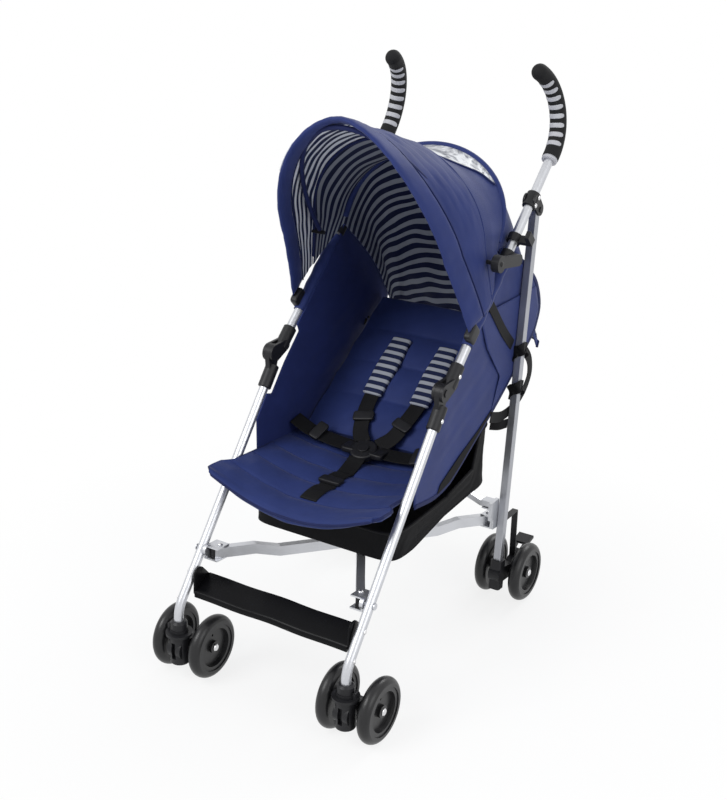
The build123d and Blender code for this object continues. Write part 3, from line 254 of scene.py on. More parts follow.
def speckled(name, color, roughness, metallic, grain, depth, spread=0.15, **sockets):
    """Moulded or painted finish: noise changes the colour and the gloss a little and gives a fine grain."""
    material, tree, shader = principled(name, color, roughness, metallic, **sockets)
    coords = tree.nodes.new("ShaderNodeTexCoord").outputs["Object"]
    cloud = cloudy(tree, shader, coords, color, spread, CLOUD_SIZE["mould"], 5.0)
    gloss = tree.nodes.new("ShaderNodeMapRange")
    gloss.inputs["To Min"].default_value = roughness * GLOSS_FROM
    gloss.inputs["To Max"].default_value = roughness * GLOSS_TO
    connect(tree, (cloud, gloss.inputs["Value"]), (gloss.outputs[0], shader.inputs["Roughness"]))
    fine = texture(tree, "ShaderNodeTexNoise", coords, grain, Detail=3.0)
    bump(tree, shader, fine.outputs["Fac"], 0.25, depth)
    return material


silver_paint = speckled("silver_paint", (0.60, 0.61, 0.64), 0.34, 0.85, 900.0, 0.0002, 0.05)
# The rear legs' silver is the same paint darkened: painted shade for their shaded side.
shaded_silver = speckled("shaded_silver", (0.40, 0.41, 0.44), 0.38, 0.85, 900.0, 0.0002, 0.06)
bright_steel = speckled("bright_steel", (0.72, 0.72, 0.73), 0.22, 1.0, 500.0, 0.0001, 0.05)
black_mould = speckled("black_mould", (0.012, 0.012, 0.014), 0.42, 0.0, 1400.0, 0.0003, Specular_IOR_Level=0.3)
gloss_sheet = speckled("gloss_sheet", (0.004, 0.004, 0.005), 0.26, 0.0, 120.0, 0.0002, Specular_IOR_Level=0.10)
tyre_black = speckled("tyre_black", (0.011, 0.011, 0.012), 0.33, 0.0, 700.0, 0.0002, Specular_IOR_Level=0.4)
foam_black = speckled("foam_black", (0.010, 0.010, 0.011), 0.75, 0.0, 2200.0, 0.0006, Specular_IOR_Level=0.25)
grip_grey = speckled("grip_grey", (0.50, 0.50, 0.53), 0.55, 0.0, 1500.0, 0.0003, 0.05)
print("metal and plastic finishes ready")

# %% [markdown]
# The cloth is one blue polyester with a slight gloss. A fine over-and-under weave is two wave
# textures crossed. The lining has wavy light stripes on navy, and the shoulder pads have straight
# ones; both are waves along one UV direction.

# %% Finishes for cloth
WAVES_PER_UNIT = 3.183  # a wave texture of scale 1 has this many bands in a metre
THREAD = 0.0012
STRIPE_BLUR = 0.04


def bands(tree, coords, direction, pitch, **settings):
    """Output of a wave texture with bands of a pitch along U or V."""
    wave = texture(tree, "ShaderNodeTexWave", coords, 1.0 / (pitch * WAVES_PER_UNIT), **settings)
    wave.bands_direction = direction
    return wave.outputs["Fac"]


def weave_height(tree, coords, pitch):
    """Crossed waves along U and V, two threads to a wave, multiplied into one height."""
    waves = [bands(tree, coords, direction, pitch * 2, Distortion=0.4) for direction in ("X", "Y")]
    return math_node(tree, "MULTIPLY", *waves)


def cloth(name, color, roughness, pitch=THREAD, spread=0.10, *, sheen):
    """Woven cloth on the piece's UV map, with a soft sheen and cloudy colour."""
    material, tree, shader = principled(name, color, roughness, Sheen_Weight=sheen, Sheen_Roughness=0.4,
                                        Specular_IOR_Level=0.12)
    coords = tree.nodes.new("ShaderNodeTexCoord").outputs["UV"]
    cloudy(tree, shader, coords, color, spread, CLOUD_SIZE["cloth"], 6.0)
    bump(tree, shader, weave_height(tree, coords, pitch), 0.35, 0.0004)
    return material


def striped(name, dark, light, pitch, waviness, share):
    """Cloth with light stripes of a pitch along V; waviness bends them gently."""
    material, tree, shader = principled(name, dark, 0.6, Sheen_Weight=0.05, Specular_IOR_Level=0.12)
    coords = tree.nodes.new("ShaderNodeTexCoord").outputs["UV"]
    wave = bands(tree, coords, "Y", pitch, **{"Distortion": waviness, "Detail": 0.0, "Detail Scale": 1.1})
    edge = ramp(tree, wave, dark, light, (1 - share - STRIPE_BLUR, 1 - share + STRIPE_BLUR))
    connect(tree, (edge.outputs[0], shader.inputs["Base Color"]))
    bump(tree, shader, weave_height(tree, coords, THREAD), 0.3, 0.0003)
    return material


blue_cloth = cloth("blue_cloth", (0.027, 0.041, 0.155), 0.5, sheen=0.08)
seat_cloth = cloth("seat_cloth", (0.025, 0.040, 0.150), 0.58, sheen=0.08)
inner_cloth = cloth("inner_cloth", (0.021, 0.032, 0.132), 0.62, sheen=0.06)
binding_cloth = cloth("binding_cloth", (0.014, 0.020, 0.080), 0.6, 0.0016, sheen=0.06)
black_webbing = cloth("black_webbing", (0.007, 0.007, 0.008), 0.6, 0.0022, 0.2, sheen=0.02)
basket_cloth = cloth("basket_cloth", (0.006, 0.006, 0.007), 0.7, 0.0018, 0.25, sheen=0.02)
lining_cloth = striped("lining_cloth", (0.011, 0.017, 0.064), (0.80, 0.82, 0.88), 0.0185, 2.4, 0.46)
# The back sheet's lining is the visor's striped lining darkened: painted shade for the shadowed inside of the hood.
lining_painted_shade = striped("lining_painted_shade", (0.006, 0.010, 0.045), (0.28, 0.30, 0.35), 0.0225, 3.0, 0.46)
pad_cloth = striped("pad_cloth", (0.013, 0.019, 0.060), (0.38, 0.40, 0.45), 0.0175, 0.0, 0.44)
reflect_tape = speckled("reflect_tape", (0.80, 0.81, 0.83), 0.35, 0.0, 2600.0, 0.0002, 0.04)

clear_film, film_tree, film = principled("clear_film", (0.86, 0.87, 0.90), 0.10, IOR=1.45, Alpha=0.85)
film_uv = film_tree.nodes.new("ShaderNodeTexCoord").outputs["UV"]
crinkle = texture(film_tree, "ShaderNodeTexNoise", film_uv, 26.0, Detail=3.0, Distortion=2.2)
# The grey-to-white colour over the crinkles is painted reflection and shade on the clear film.
crinkle_painted_light = ramp(film_tree, crinkle.outputs["Fac"], (0.30, 0.31, 0.34), (0.93, 0.94, 0.96), (0.38, 0.58))
connect(film_tree, (crinkle_painted_light.outputs[0], film.inputs["Base Color"]))
bump(film_tree, film, crinkle.outputs["Fac"], 0.8, 0.006)
print("cloth finishes ready")

# %% [markdown]
# New pieces are grids worked out with numpy: a function of two parameters gives whole arrays of
# points, and the grid becomes quads. The helpers below also keep a UV map in metres.


def grid_faces(rows, cols, wrap):
    """Quads between neighbouring rows and columns; wrap joins the last column to the first."""
    index = np.arange(rows * cols).reshape(rows, cols)
    nxt = np.roll(index, -1, axis=1)
    quads = np.stack([index[:-1], nxt[:-1], nxt[1:], index[1:]], axis=-1)
    if not wrap:
        quads = quads[:, :-1]
    return quads.reshape(-1, 4)


def run_length(points, axis):
    """Distance along a grid direction, from its start, at each point."""
    steps = np.linalg.norm(np.diff(points, axis=axis), axis=-1)
    pad = [(0, 0), (0, 0)]
    pad[axis] = (1, 0)
    return np.cumsum(np.pad(steps, pad), axis=axis)


def grid_piece(name, points, material, wrap=False, weld=False, faces_material=None):
    """Object from a grid of points (rows, cols, 3), UV in metres along columns and rows."""
    points = np.asarray(points, float)
    rows, cols = points.shape[:2]
    quads = grid_faces(rows, cols, wrap)
    obj = link_mesh(name, points, quads)
    mesh = obj.data
    u = run_length(points, 1).mean(axis=0)[None, :] + np.zeros((rows, 1))
    v = run_length(points, 0).mean(axis=1)[:, None] + np.zeros((1, cols))
    uv = np.stack([u, v], axis=-1).reshape(-1, 2)
    layer = mesh.uv_layers.new(name="cloth_uv")
    loops = np.empty(len(mesh.loops), np.int32)
    mesh.loops.foreach_get("vertex_index", loops)
    layer.data.foreach_set("uv", uv[loops].ravel())
    for item in (material if isinstance(material, (list, tuple)) else [material]):
        mesh.materials.append(item)
    if faces_material is not None:
        mesh.polygons.foreach_set("material_index", np.asarray(faces_material, np.int32))
    mesh.polygons.foreach_set("use_smooth", np.full(len(mesh.polygons), True))
    if weld:
        work = bmesh.new()
        work.from_mesh(mesh)
        bmesh.ops.remove_doubles(work, verts=work.verts, dist=1e-6)
        bmesh.ops.recalc_face_normals(work, faces=work.faces)
        work.to_mesh(mesh)
        work.free()
    mesh.update()
    return obj


def frames(path, hint):
    """Tangent, side and normal at each point of a path; side is square to the hint direction."""
    path = np.asarray(path, float)
    tangent = np.gradient(path, axis=0)
    tangent = tangent / np.linalg.norm(tangent, axis=1, keepdims=True)
    normal = np.broadcast_to(np.asarray(hint, float), path.shape)
    normal = normal - tangent * np.sum(normal * tangent, axis=1, keepdims=True)
    normal = normal / np.linalg.norm(normal, axis=1, keepdims=True)
    return tangent, np.cross(tangent, normal), normal


def full_turn(sides):
    """Angles evenly round a circle."""
    return np.linspace(0, 2 * np.pi, sides, endpoint=False)


def squared(wave, power):
    """Sine or cosine raised to a power with its sign kept; a small power squares an oval off."""
    return np.sign(wave) * np.abs(wave) ** power


def closed_piece(name, points, material):
    """Piece whose columns run round it and whose first and last rows close to points."""
    return grid_piece(name, points, material, wrap=True, weld=True)


CAP_SHRINK = np.array([0.0, 0.72])[:, None, None]
CAP_REACH = np.array([0.35, 0.26])[:, None, None]


def sweep_profile(path, profile, hint):
    """Carries a closed profile of (side, normal) offsets along a path; the ends close to a point."""
    path = np.asarray(path, float)
    tangent, side, normal = frames(path, hint)
    profile = np.asarray(profile, float)
    body = path[:, None] + side[:, None] * profile[None, :, :1] + normal[:, None] * profile[None, :, 1:]
    reach = np.abs(profile).max(axis=0).min()
    head = path[0] - tangent[0] * reach * CAP_REACH + (body[0] - path[0])[None] * CAP_SHRINK
    tail = path[-1] + tangent[-1] * reach * CAP_REACH[::-1] + (body[-1] - path[-1])[None] * CAP_SHRINK[::-1]
    return np.concatenate([head, body, tail])


def round_profile(radius, sides):
    """Circle of offsets."""
    turn = full_turn(sides)
    return np.stack([np.cos(turn), np.sin(turn)], axis=1) * radius


def strap_profile(width, thick, sides=16):
    """Flat band with round edges: a squared-off oval."""
    turn = full_turn(sides) + np.pi / sides
    return np.stack([squared(np.cos(turn), 0.25) * width / 2, squared(np.sin(turn), 0.6) * thick / 2], axis=1)


def tube_piece(name, path, radius, material, hint, sides):
    """Round rod along a path."""
    return closed_piece(name, sweep_profile(path, round_profile(radius, sides), hint), material)


def strap_piece(name, path, hint, width, thick, material=black_webbing):
    """Webbing band along a path; the hint is the way its flat face looks."""
    return closed_piece(name, sweep_profile(path, strap_profile(width, thick), hint), material)


def smooth_path(points, count):
    """Points along a smooth curve through the given ones: cubic with finite-difference slopes."""
    points = np.asarray(points, float)
    knots = np.concatenate([[0], np.cumsum(np.linalg.norm(np.diff(points, axis=0), axis=1))])
    at = np.linspace(0, knots[-1], count)
    return np.stack([hermite(at, knots, points[:, k]) for k in range(points.shape[1])], axis=1)


def hermite(at, knots, values):
    """Cubic through values at knots, with slopes from the neighbours."""
    slopes = np.gradient(values, knots)
    i = np.clip(np.searchsorted(knots, at, side="right") - 1, 0, len(knots) - 2)
    h = knots[i + 1] - knots[i]
    t = (at - knots[i]) / h
    return ((2 * t**3 - 3 * t**2 + 1) * values[i] + (t**3 - 2 * t**2 + t) * h * slopes[i]
            + (3 * t**2 - 2 * t**3) * values[i + 1] + (t**3 - t**2) * h * slopes[i + 1])


def lathe_piece(name, profile, at, axis, material, sides=28):
    """Turns a profile of (radius, height) about an axis through a point."""
    axis = unit(axis)
    side = unit(np.cross(axis, (0.31, 0.42, 0.85)))
    other = np.cross(axis, side)
    turn = full_turn(sides)
    ring = side[None] * np.cos(turn)[:, None] + other[None] * np.sin(turn)[:, None]
    profile = np.asarray(profile, float)
    points = np.asarray(at, float) + axis * profile[:, None, 1:] + ring[None] * profile[:, None, :1]
    return closed_piece(name, points, material)


def block_piece(name, at, axes, size, square, count=16):
    """Rounded moulded block: a ball whose sines and cosines are raised to a small power."""
    lat = np.linspace(-np.pi / 2, np.pi / 2, count)[:, None]
    lon = full_turn(2 * count)[None]
    ring = squared(np.cos(lat), square)
    local = np.stack([ring * squared(np.cos(lon), square), ring * squared(np.sin(lon), square),
                      squared(np.sin(lat), square) * np.ones_like(lon)], axis=-1) * np.asarray(size) / 2
    return closed_piece(name, np.asarray(at, float) + local @ np.asarray(axes, float), black_mould)


def thicken(obj, thickness, inner_slot=0):
    """Live Solidify that grows inwards and gives the inner skin another slot."""
    modifier = obj.modifiers.new("cloth_thickness", "SOLIDIFY")
    modifier.thickness = thickness
    modifier.offset = -1.0
    modifier.material_offset = inner_slot
    return obj


def folds(body, slot, *pieces):
    """Soft pieces ride on their body, each with a mesh of its own."""
    for piece in pieces:
        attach(piece, body)
        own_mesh(piece)


def sits(body, slot, *pieces):
    """Stiff pieces ride on their body as they are."""
    for piece in pieces:
        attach(piece, body)


print("helpers ready")

# %% [markdown]
# The hard parts keep their CAD shape and only change finish: painted tubes, moulded elbows and
# casters, smooth tyres, plated axles.

# %% Finish of the CAD nodes
NODE_FINISH = (
    (("front_leg", "upper_tube", "brace_bar", "lock_link", "front_bracket", "rear_bracket"), silver_paint),
    # the rear legs take the darkened silver, painted shade
    (("rear_leg",), shaded_silver),
    (("front_axle", "rear_axle", "brace_pivot", "canopy_bow"), bright_steel),
    (("front_wheel", "rear_wheel"), tyre_black),
    (("handle_grip",), foam_black),
    (("footrest",), gloss_sheet),
)
for node_name, obj in nodes.items():
    finish = next((m for starts, m in NODE_FINISH if node_name.startswith(starts)), black_mould)
    obj.data.materials.clear()
    obj.data.materials.append(finish)
print(len(nodes), "CAD nodes finished")

# %% [markdown]
# Points of the side view, in metres, as the frame has them: the elbow, the direction of the leg
# and of the upper tube, and the line of the backrest.

# %% Side-view points
SIDE = 0.186
ELBOW = np.array([-0.050, 0.554])
LEG_BEND = np.array([-0.366, 0.148])
GRIP_START = np.array([0.345, 0.926])
leg_dir = unit(ELBOW - LEG_BEND)
upper_dir = unit(GRIP_START - ELBOW)
front_of = lambda d: np.array([-d[1], d[0]])
upper_at = lambda s: ELBOW + upper_dir * s
leg_at = lambda s: ELBOW - leg_dir * s
BACK_FOOT = np.array([0.038, 0.385])
BACK_LEN, BACK_T = 0.335, 0.018
LEAN = np.radians(55.0)
back_up = np.array([np.sin(LEAN), np.cos(LEAN)])
back_front = front_of(back_up)
CANOPY_KNOB = np.array([0.080, 0.775])
SIDES = (("left", -1), ("right", 1))


def ripple(a, b, size, seed):
    """Small soft creases: a few crossed sine waves with fixed phases."""
    p = np.array([0.3, 1.7, 2.9, 4.1]) + seed * 1.37
    wave = (np.sin(7.1 * a + 3.3 * b + p[0]) + 0.6 * np.sin(4.3 * a - 8.7 * b + p[1])
            + 0.4 * np.sin(15.1 * a + 9.2 * b + p[2]) + 0.3 * np.sin(-11.3 * a + 17.9 * b + p[3]))
    return size * wave / 2.3


print("upper tube rises at", round(float(np.degrees(np.arctan2(upper_dir[1], upper_dir[0]))), 1), "degrees")

# %% [markdown]
# The canopy is one sewn sheet over two bows. Each arch has straight sides and an oval top, and
# the rows between the front rim and the back hem are joined by a smooth curve. It is cut at the
# fold line, because the front half turns on the side knobs.

# %% Canopy surface
CANOPY_ROWS = np.array([
    # base y, base z, top y, top z, half width at the base and at the shoulder, rise of the oval top
    (0.018, 0.656, -0.1225, 1.041, 0.195, 0.172, 0.263),
    (0.094, 0.704, 0.062, 0.981, 0.200, 0.187, 0.176),
    (0.130, 0.742, 0.185, 0.930, 0.185, 0.178, 0.140),
    (0.160, 0.776, 0.247, 0.941, 0.170, 0.170, 0.150),
    (0.270, 0.676, 0.326, 0.773, 0.169, 0.169, 0.080),
    (0.378, 0.520, 0.388, 0.545, 0.168, 0.168, 0.016),
])
ROW_AT = np.array([0.0, 0.30, 0.43, 0.52, 0.76, 1.0])
BOW = 3
RIM_CURVE = (0.018, -0.0259, -0.123, -0.1225)
RIM_ZONE = 0.3  # share of v in which the arches bow forward and round off
RIM_ROUNDING = 0.13
FOLD_LINE = 0.295
FOLD_GAP = 0.002
VISOR_THICK, BACK_THICK = 0.0022, 0.0020
WINDOW_FRONT, WINDOW_REAR, WINDOW_HALF = 0.424, 0.508, 0.25
WINDOW_CURVE, WINDOW_POWER, WINDOW_WAVE = 0.078, 2.2, 0.006
CREASE_FROM, CREASE_RUN = 0.06, 0.06  # the creases of the visor start behind the rim
TUCK, TUCK_END, TUCK_RUN = 0.012, 0.36, 0.06  # the back half narrows where it goes under the visor
CURTAIN_FROM, CURTAIN_RUN = 0.55, 0.2  # the back curtain hangs free and creases below the bow
U_STEP, V_STEP = 0.003, 0.004


def row_value(v, k):
    """One measure of the arches along v: a smooth curve up to the back bow, and another behind it."""
    front = hermite(np.minimum(v, ROW_AT[BOW]), ROW_AT[:BOW + 1], CANOPY_ROWS[:BOW + 1, k])
    behind = hermite(np.maximum(v, ROW_AT[BOW]), ROW_AT[BOW:], CANOPY_ROWS[BOW:, k])
    return np.where(v < ROW_AT[BOW], front, behind)


def canopy_points(v, u):
    """Point of the canopy: v from the front rim to the back hem, u from the left base over to the right.

    Each arch is two leaning sides and half an oval, run at even speed; near the rim it bows forward by a cubic."""
    v, u = np.broadcast_arrays(np.asarray(v, float), np.asarray(u, float))
    base_y, base_z, top_y, top_z, half, neck, rise = (row_value(v, k) for k in range(7))
    height = np.hypot(top_y - base_y, top_z - base_z)
    shoulder = height - rise
    quarter = np.pi / 2 * np.sqrt((neck**2 + rise**2) / 2)
    along = u * 2 * (shoulder + quarter)
    angle = np.clip((along - shoulder) / (2 * quarter), 0, 1) * np.pi
    low = np.minimum(np.minimum(along, 2 * (shoulder + quarter) - along), shoulder)
    on_top = (angle > 0) & (angle < np.pi)
    near_rim = np.clip(1 - v / RIM_ZONE, 0, 1)
    power = 1 + RIM_ROUNDING * near_rim
    x_top = -neck * squared(np.cos(angle), power)
    x_side = np.sign(u - 0.5) * (half + (neck - half) * low / shoulder)
    share = np.where(on_top, shoulder + rise * np.abs(np.sin(angle)) ** power, low) / height
    a, b, c, d = RIM_CURVE
    bowed = a * (1 - share)**3 + 3 * b * share * (1 - share)**2 + 3 * c * share**2 * (1 - share) + d * share**3
    push = (bowed - a - (d - a) * share) * near_rim ** 2
    y = base_y + (top_y - base_y) * share + push
    return np.stack([np.where(on_top, x_top, x_side), y, base_z + (top_z - base_z) * share], axis=-1)


def canopy_out(v, u):
    """Outward direction of the canopy, from small steps in u and v."""
    over = canopy_points(v, np.asarray(u) + U_STEP) - canopy_points(v, np.asarray(u) - U_STEP)
    behind = canopy_points(np.asarray(v) + V_STEP, u) - canopy_points(v, u)
    out = np.cross(over, behind)
    return out / np.linalg.norm(out, axis=-1, keepdims=True)


arch_u = np.linspace(0, 1, 150)
visor_length = run_length(canopy_points(np.linspace(0, FOLD_LINE, 40)[:, None], arch_u[None]), 0)[-1]
v_behind_rim = lambda distance, u: FOLD_LINE * distance / np.interp(u, arch_u, visor_length)
visor_v = np.linspace(0.01, FOLD_LINE, 44)[:, None]
visor_points = canopy_points(visor_v, arch_u[None])
visor_creases = ripple(arch_u[None] * 6, visor_v * 16, 0.0022, 4)
visor_points[..., 2] += visor_creases * np.clip((visor_v - CREASE_FROM) / CREASE_RUN, 0, 1)
visor = grid_piece("canopy_visor", visor_points, [blue_cloth, lining_cloth])
thicken(visor, VISOR_THICK, 1)

rear_v = np.linspace(FOLD_LINE + FOLD_GAP, 1.0, 110)[:, None]
rear_u = np.linspace(0, 1, 170)
rear_points = canopy_points(rear_v, rear_u[None])
rear_points[..., 0] *= 1 - TUCK * np.clip((TUCK_END - rear_v) / TUCK_RUN, 0, 1)
rear_creases = ripple(rear_u[None] * 5, rear_v * 4, 0.004, 2)
rear_points[..., 1] += rear_creases * np.clip((rear_v - CURTAIN_FROM) / CURTAIN_RUN, 0, 1)
mid_v = (rear_v[:-1] + rear_v[1:]) / 2
mid_u = (rear_u[:-1] + rear_u[1:])[None] / 2


def window_edge(u):
    """Front edge of the window across the canopy: a shallow curve with a slight wave."""
    curve = np.abs((u - 0.5) / WINDOW_HALF) ** WINDOW_POWER
    return WINDOW_FRONT + WINDOW_CURVE * curve + WINDOW_WAVE * np.sin(u * 40)


is_window = (mid_v > window_edge(mid_u)) & (mid_v < WINDOW_REAR) & (np.abs(mid_u - 0.5) < WINDOW_HALF)
# Its inner skin takes the darkened lining, painted shade inside the hood.
rear_sheet = grid_piece("canopy_back", rear_points, [blue_cloth, lining_painted_shade, clear_film, clear_film],
                        faces_material=np.where(is_window, 2, 0).ravel())
thicken(rear_sheet, BACK_THICK, 1)
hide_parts("canopy_front")
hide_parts("canopy_rear")
print("canopy points", visor_points[..., 0].size + rear_points[..., 0].size)

# %% [markdown]
# The rim of the canopy is a wide padded hem with a seam behind it. The hem is a flat oval carried
# along the rim. Seams, the band over the back bow and the piping in front of the window are rods
# along lines of the same surface, and the front bow runs in a sleeve.

# %% Canopy edges
def canopy_rod(name, v, u, lift, radius, material, sides=10):
    """Rod along a line of the canopy, lifted off the cloth."""
    v = np.broadcast_to(v, u.shape)
    return tube_piece(name, canopy_points(v, u) + canopy_out(v, u) * lift, radius, material, (0, 1, 0.2), sides)


BAND_HALF, BAND_LIFT, BAND_SINK = 0.0240, 0.0056, 0.0010
SEAM_BACK, REFLECTOR_BACK, REFLECTOR_LIFT = 0.0505, 0.0075, 0.0034
edge_u = arch_u
band_turn = full_turn(28)[None]
band_close = np.concatenate([[0, 0.6, 0.9], np.ones(144), [0.9, 0.6, 0]])[:, None]
band_back = BAND_HALF + BAND_HALF * squared(np.cos(band_turn), 0.55)
band_lift = (BAND_LIFT * np.sin(band_turn) * band_close - BAND_SINK
             + ripple(edge_u[:, None] * 24, band_back * 30, 0.0006, 7))
band_v = v_behind_rim(band_back * np.ones_like(band_close), edge_u[:, None])
band_u = edge_u[:, None] * np.ones_like(band_turn)
band_points = canopy_points(band_v, band_u) + canopy_out(band_v, band_u) * band_lift[..., None]
rim_band = closed_piece("canopy_rim_band", band_points, blue_cloth)
seam_v = v_behind_rim(SEAM_BACK, edge_u)
rim_seam = canopy_rod("canopy_rim_seam", seam_v, edge_u, 0.0004, 0.0013, binding_cloth)
rim_seam_in = canopy_rod("canopy_rim_seam_in", seam_v, edge_u, -0.0030, 0.0012, binding_cloth)
fold_seam = canopy_rod("canopy_fold_seam", FOLD_LINE - 0.004, edge_u, -0.0006, 0.0016, blue_cloth)
fold_tape = canopy_rod("canopy_fold_tape", FOLD_LINE - 0.006, edge_u[4:-4], -0.0045, 0.0030, binding_cloth)
back_band = canopy_rod("canopy_back_band", 0.516, np.linspace(0.03, 0.97, 130), -0.0015, 0.0062, blue_cloth, 14)
hem_roll = tube_piece("canopy_hem_roll", rear_points[-1], 0.0028, binding_cloth, (0, 0.8, 0.6), 10)
window_u = np.linspace(0.252, 0.748, 90)
window_piping = canopy_rod("canopy_window_piping", window_edge(window_u), window_u, 0.0008, 0.0024, binding_cloth)
rim_height = canopy_points(np.zeros(60), np.linspace(0.02, 0.48, 60))[:, 2]
tape_u = np.interp(np.linspace(0.930, 0.985, 24), rim_height, np.linspace(0.02, 0.48, 60))
tape_v = v_behind_rim(REFLECTOR_BACK, tape_u)
tape_out = canopy_out(tape_v, tape_u)
tape_path = canopy_points(tape_v, tape_u) + tape_out * REFLECTOR_LIFT
rim_tape = strap_piece("rim_reflector", tape_path, tape_out.mean(axis=0), 0.010, 0.0024, reflect_tape)

BOW_TOP = np.array([-0.121, 1.040])
BOW_HALF, BOW_RISE, BOW_FOOT = 0.170, 0.302, 0.008
bow_up = unit(BOW_TOP - CANOPY_KNOB)
bow_turn = np.linspace(0, np.pi, 90)[:, None]
bow_rise = BOW_FOOT + BOW_RISE * np.sin(bow_turn)
bow_path = np.concatenate([BOW_HALF * np.cos(bow_turn), CANOPY_KNOB + bow_up * bow_rise], axis=1)
bow_sleeve = tube_piece("canopy_bow_sleeve", bow_path, 0.0046, binding_cloth, (0, 1, 0.2), 14)
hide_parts("canopy_bow_front")
folds("canopy_front", "canopy_fabric", visor, rim_band, rim_seam, rim_seam_in, fold_seam, fold_tape, rim_tape,
      bow_sleeve)
folds("back_frame", "canopy_fabric", rear_sheet, back_band, hem_roll, window_piping)

SNAP_AT, SNAP_SIZE = np.array([0.1915, 0.034, 0.650]), (0.016, 0.034, 0.030)
snap_axes = np.array([[1, 0, 0], [0, *upper_dir], [0, *front_of(upper_dir)]])
for side, sx in SIDES:
    snap = block_piece(f"rim_snap_{side}", SNAP_AT * (sx, 1, 1), snap_axes, SNAP_SIZE, 0.35, 18)
    sits(f"upper_{side}", "black_plastic", snap)
print("rim band", len(rim_band.data.vertices), "points")

# %% [markdown]


# %% [markdown]
# The seat is a padded sling: a sagging, crowned cushion sewn across into channels, with a wide
# front flap that stands out past the tubes. Its closed surface is a band, top and bottom, whose
# thickness swells between the seams.

# %% Seat cushion
SEAT_ROWS = np.array([
    # y, height of the edge, sag at the middle, thickness at the middle
    (-0.272, 0.403, 0.046, 0.016),
    (-0.215, 0.399, 0.040, 0.026),
    (-0.150, 0.394, 0.032, 0.028),
    (-0.088, 0.390, 0.026, 0.030),
    (-0.024, 0.386, 0.020, 0.028),
    (0.0355, 0.383, 0.014, 0.022),
])
SEAT_EDGE = 0.009
SEAT_CROWN = 0.0065
SEAT_FRONT, SEAT_BACK = -0.272, 0.0350


def seat_top_at(x, y):
    """Height of the cushion's top: the sagging row line plus a crown between two seams."""
    edge, sag = (hermite(y, SEAT_ROWS[:, 0], SEAT_ROWS[:, k]) for k in (1, 2))
    half = seat_half_at(y)
    seam = np.interp(y, SEAT_ROWS[:, 0], np.arange(len(SEAT_ROWS)))
    crown = SEAT_CROWN * np.abs(np.sin(np.pi * seam)) ** 0.6
    across = 1 - np.clip(np.abs(x) / half, 0, 1) ** 2
    return edge - sag * across + crown * np.clip(across * 3, 0, 1)


def seat_half_at(y):
    """Half width: past the tubes in front, between the side panels behind them."""
    return np.interp(y, [SEAT_FRONT, -0.262, -0.228, -0.208, 0.09], [0.176, 0.187, 0.187, 0.1725, 0.1725])


def seat_points(rows=150, cols=90):
    """Closed band: the first half of each ring runs over the top, the second half back below."""
    y = np.linspace(SEAT_FRONT, SEAT_BACK, rows)
    y = np.concatenate([np.full(3, y[0]), y, np.full(3, y[-1])])
    close = np.concatenate([[0.0, 0.55, 0.85], np.ones(rows), [0.85, 0.55, 0.0]])
    reach = np.concatenate([[-0.006, -0.005, -0.003], np.zeros(rows), [0.0003, 0.0004, 0.0005]])
    s = np.linspace(-1, 1, cols)
    half = seat_half_at(y)[:, None]
    x_top = half * np.sin(s * np.pi / 2)[None]
    top = seat_top_at(x_top, y[:, None] * np.ones_like(x_top))
    top = top + ripple(x_top * 9, y[:, None] * 9, 0.0012, 5)
    thick = hermite(y, SEAT_ROWS[:, 0], SEAT_ROWS[:, 3])[:, None]
    depth = SEAT_EDGE + (thick - SEAT_EDGE) * (1 - (x_top / half) ** 2)
    mid = top - depth / 2
    upper = mid + depth / 2 * close[:, None]
    lower = mid - depth / 2 * close[:, None]
    yy = (y + reach)[:, None] * np.ones_like(x_top)
    over = np.stack([x_top, yy, upper], axis=-1)
    under = np.stack([x_top, yy, lower], axis=-1)[:, ::-1]
    return np.concatenate([over, under], axis=1)


seat = closed_piece("seat_cushion", seat_points(), seat_cloth)
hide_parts("seat_pad")

edge_y = np.linspace(0.030, -0.262, 60)
left_edge = np.stack([-seat_half_at(edge_y), edge_y, seat_top_at(seat_half_at(edge_y), edge_y) - 0.003], axis=1)
front_x = np.linspace(-0.176, 0.176, 60)[1:-1]
front_edge = np.stack([front_x, np.full(58, -0.2765), seat_top_at(front_x, np.full(58, -0.271)) - 0.007], axis=1)
seat_binding_path = np.concatenate([left_edge, front_edge, left_edge[::-1] * [-1, 1, 1]])
seat_binding = tube_piece("seat_binding", seat_binding_path, 0.0030, binding_cloth, (0, 0, 1), 10)
seam_pieces = []
for number, row in enumerate(SEAT_ROWS[1:-1]):
    x = np.linspace(-1, 1, 60) * (seat_half_at(row[0]) - 0.004)
    line = np.stack([x, np.full(60, row[0]), seat_top_at(x, np.full(60, row[0])) + 0.0003], axis=1)
    seam_pieces.append(tube_piece(f"seat_seam_{number}", line, 0.0009, inner_cloth, (0, 0, 1), 8))
folds("seat", "seat_fabric", seat, seat_binding, *seam_pieces)
print("seat cushion", len(seat.data.vertices), "points")

# %% [markdown]
# The side panels are plain cloth between the tubes and the edges of the seat and the back, with a
# wing that runs back beside the backrest. Each is a grid between a front line, which follows the
# tubes, and a rear line, with a little slack. Outside there is a blue facing on the wing, with a
# black skirt below it.

# %% Side panels
def resample(points, count):
    """Points evenly along a line of straight runs."""
    points = np.asarray(points, float)
    run = np.concatenate([[0], np.cumsum(np.linalg.norm(np.diff(points, axis=0), axis=1))])
    at = np.linspace(0, run[-1], count)
    return np.stack([np.interp(at, run, points[:, k]) for k in range(points.shape[1])], axis=1)


def between(first, second, share):
    """Grid of straight runs from each point of one line to its partner on another."""
    share = share[None, :, None]
    return first[:, None] * (1 - share) + second[:, None] * share


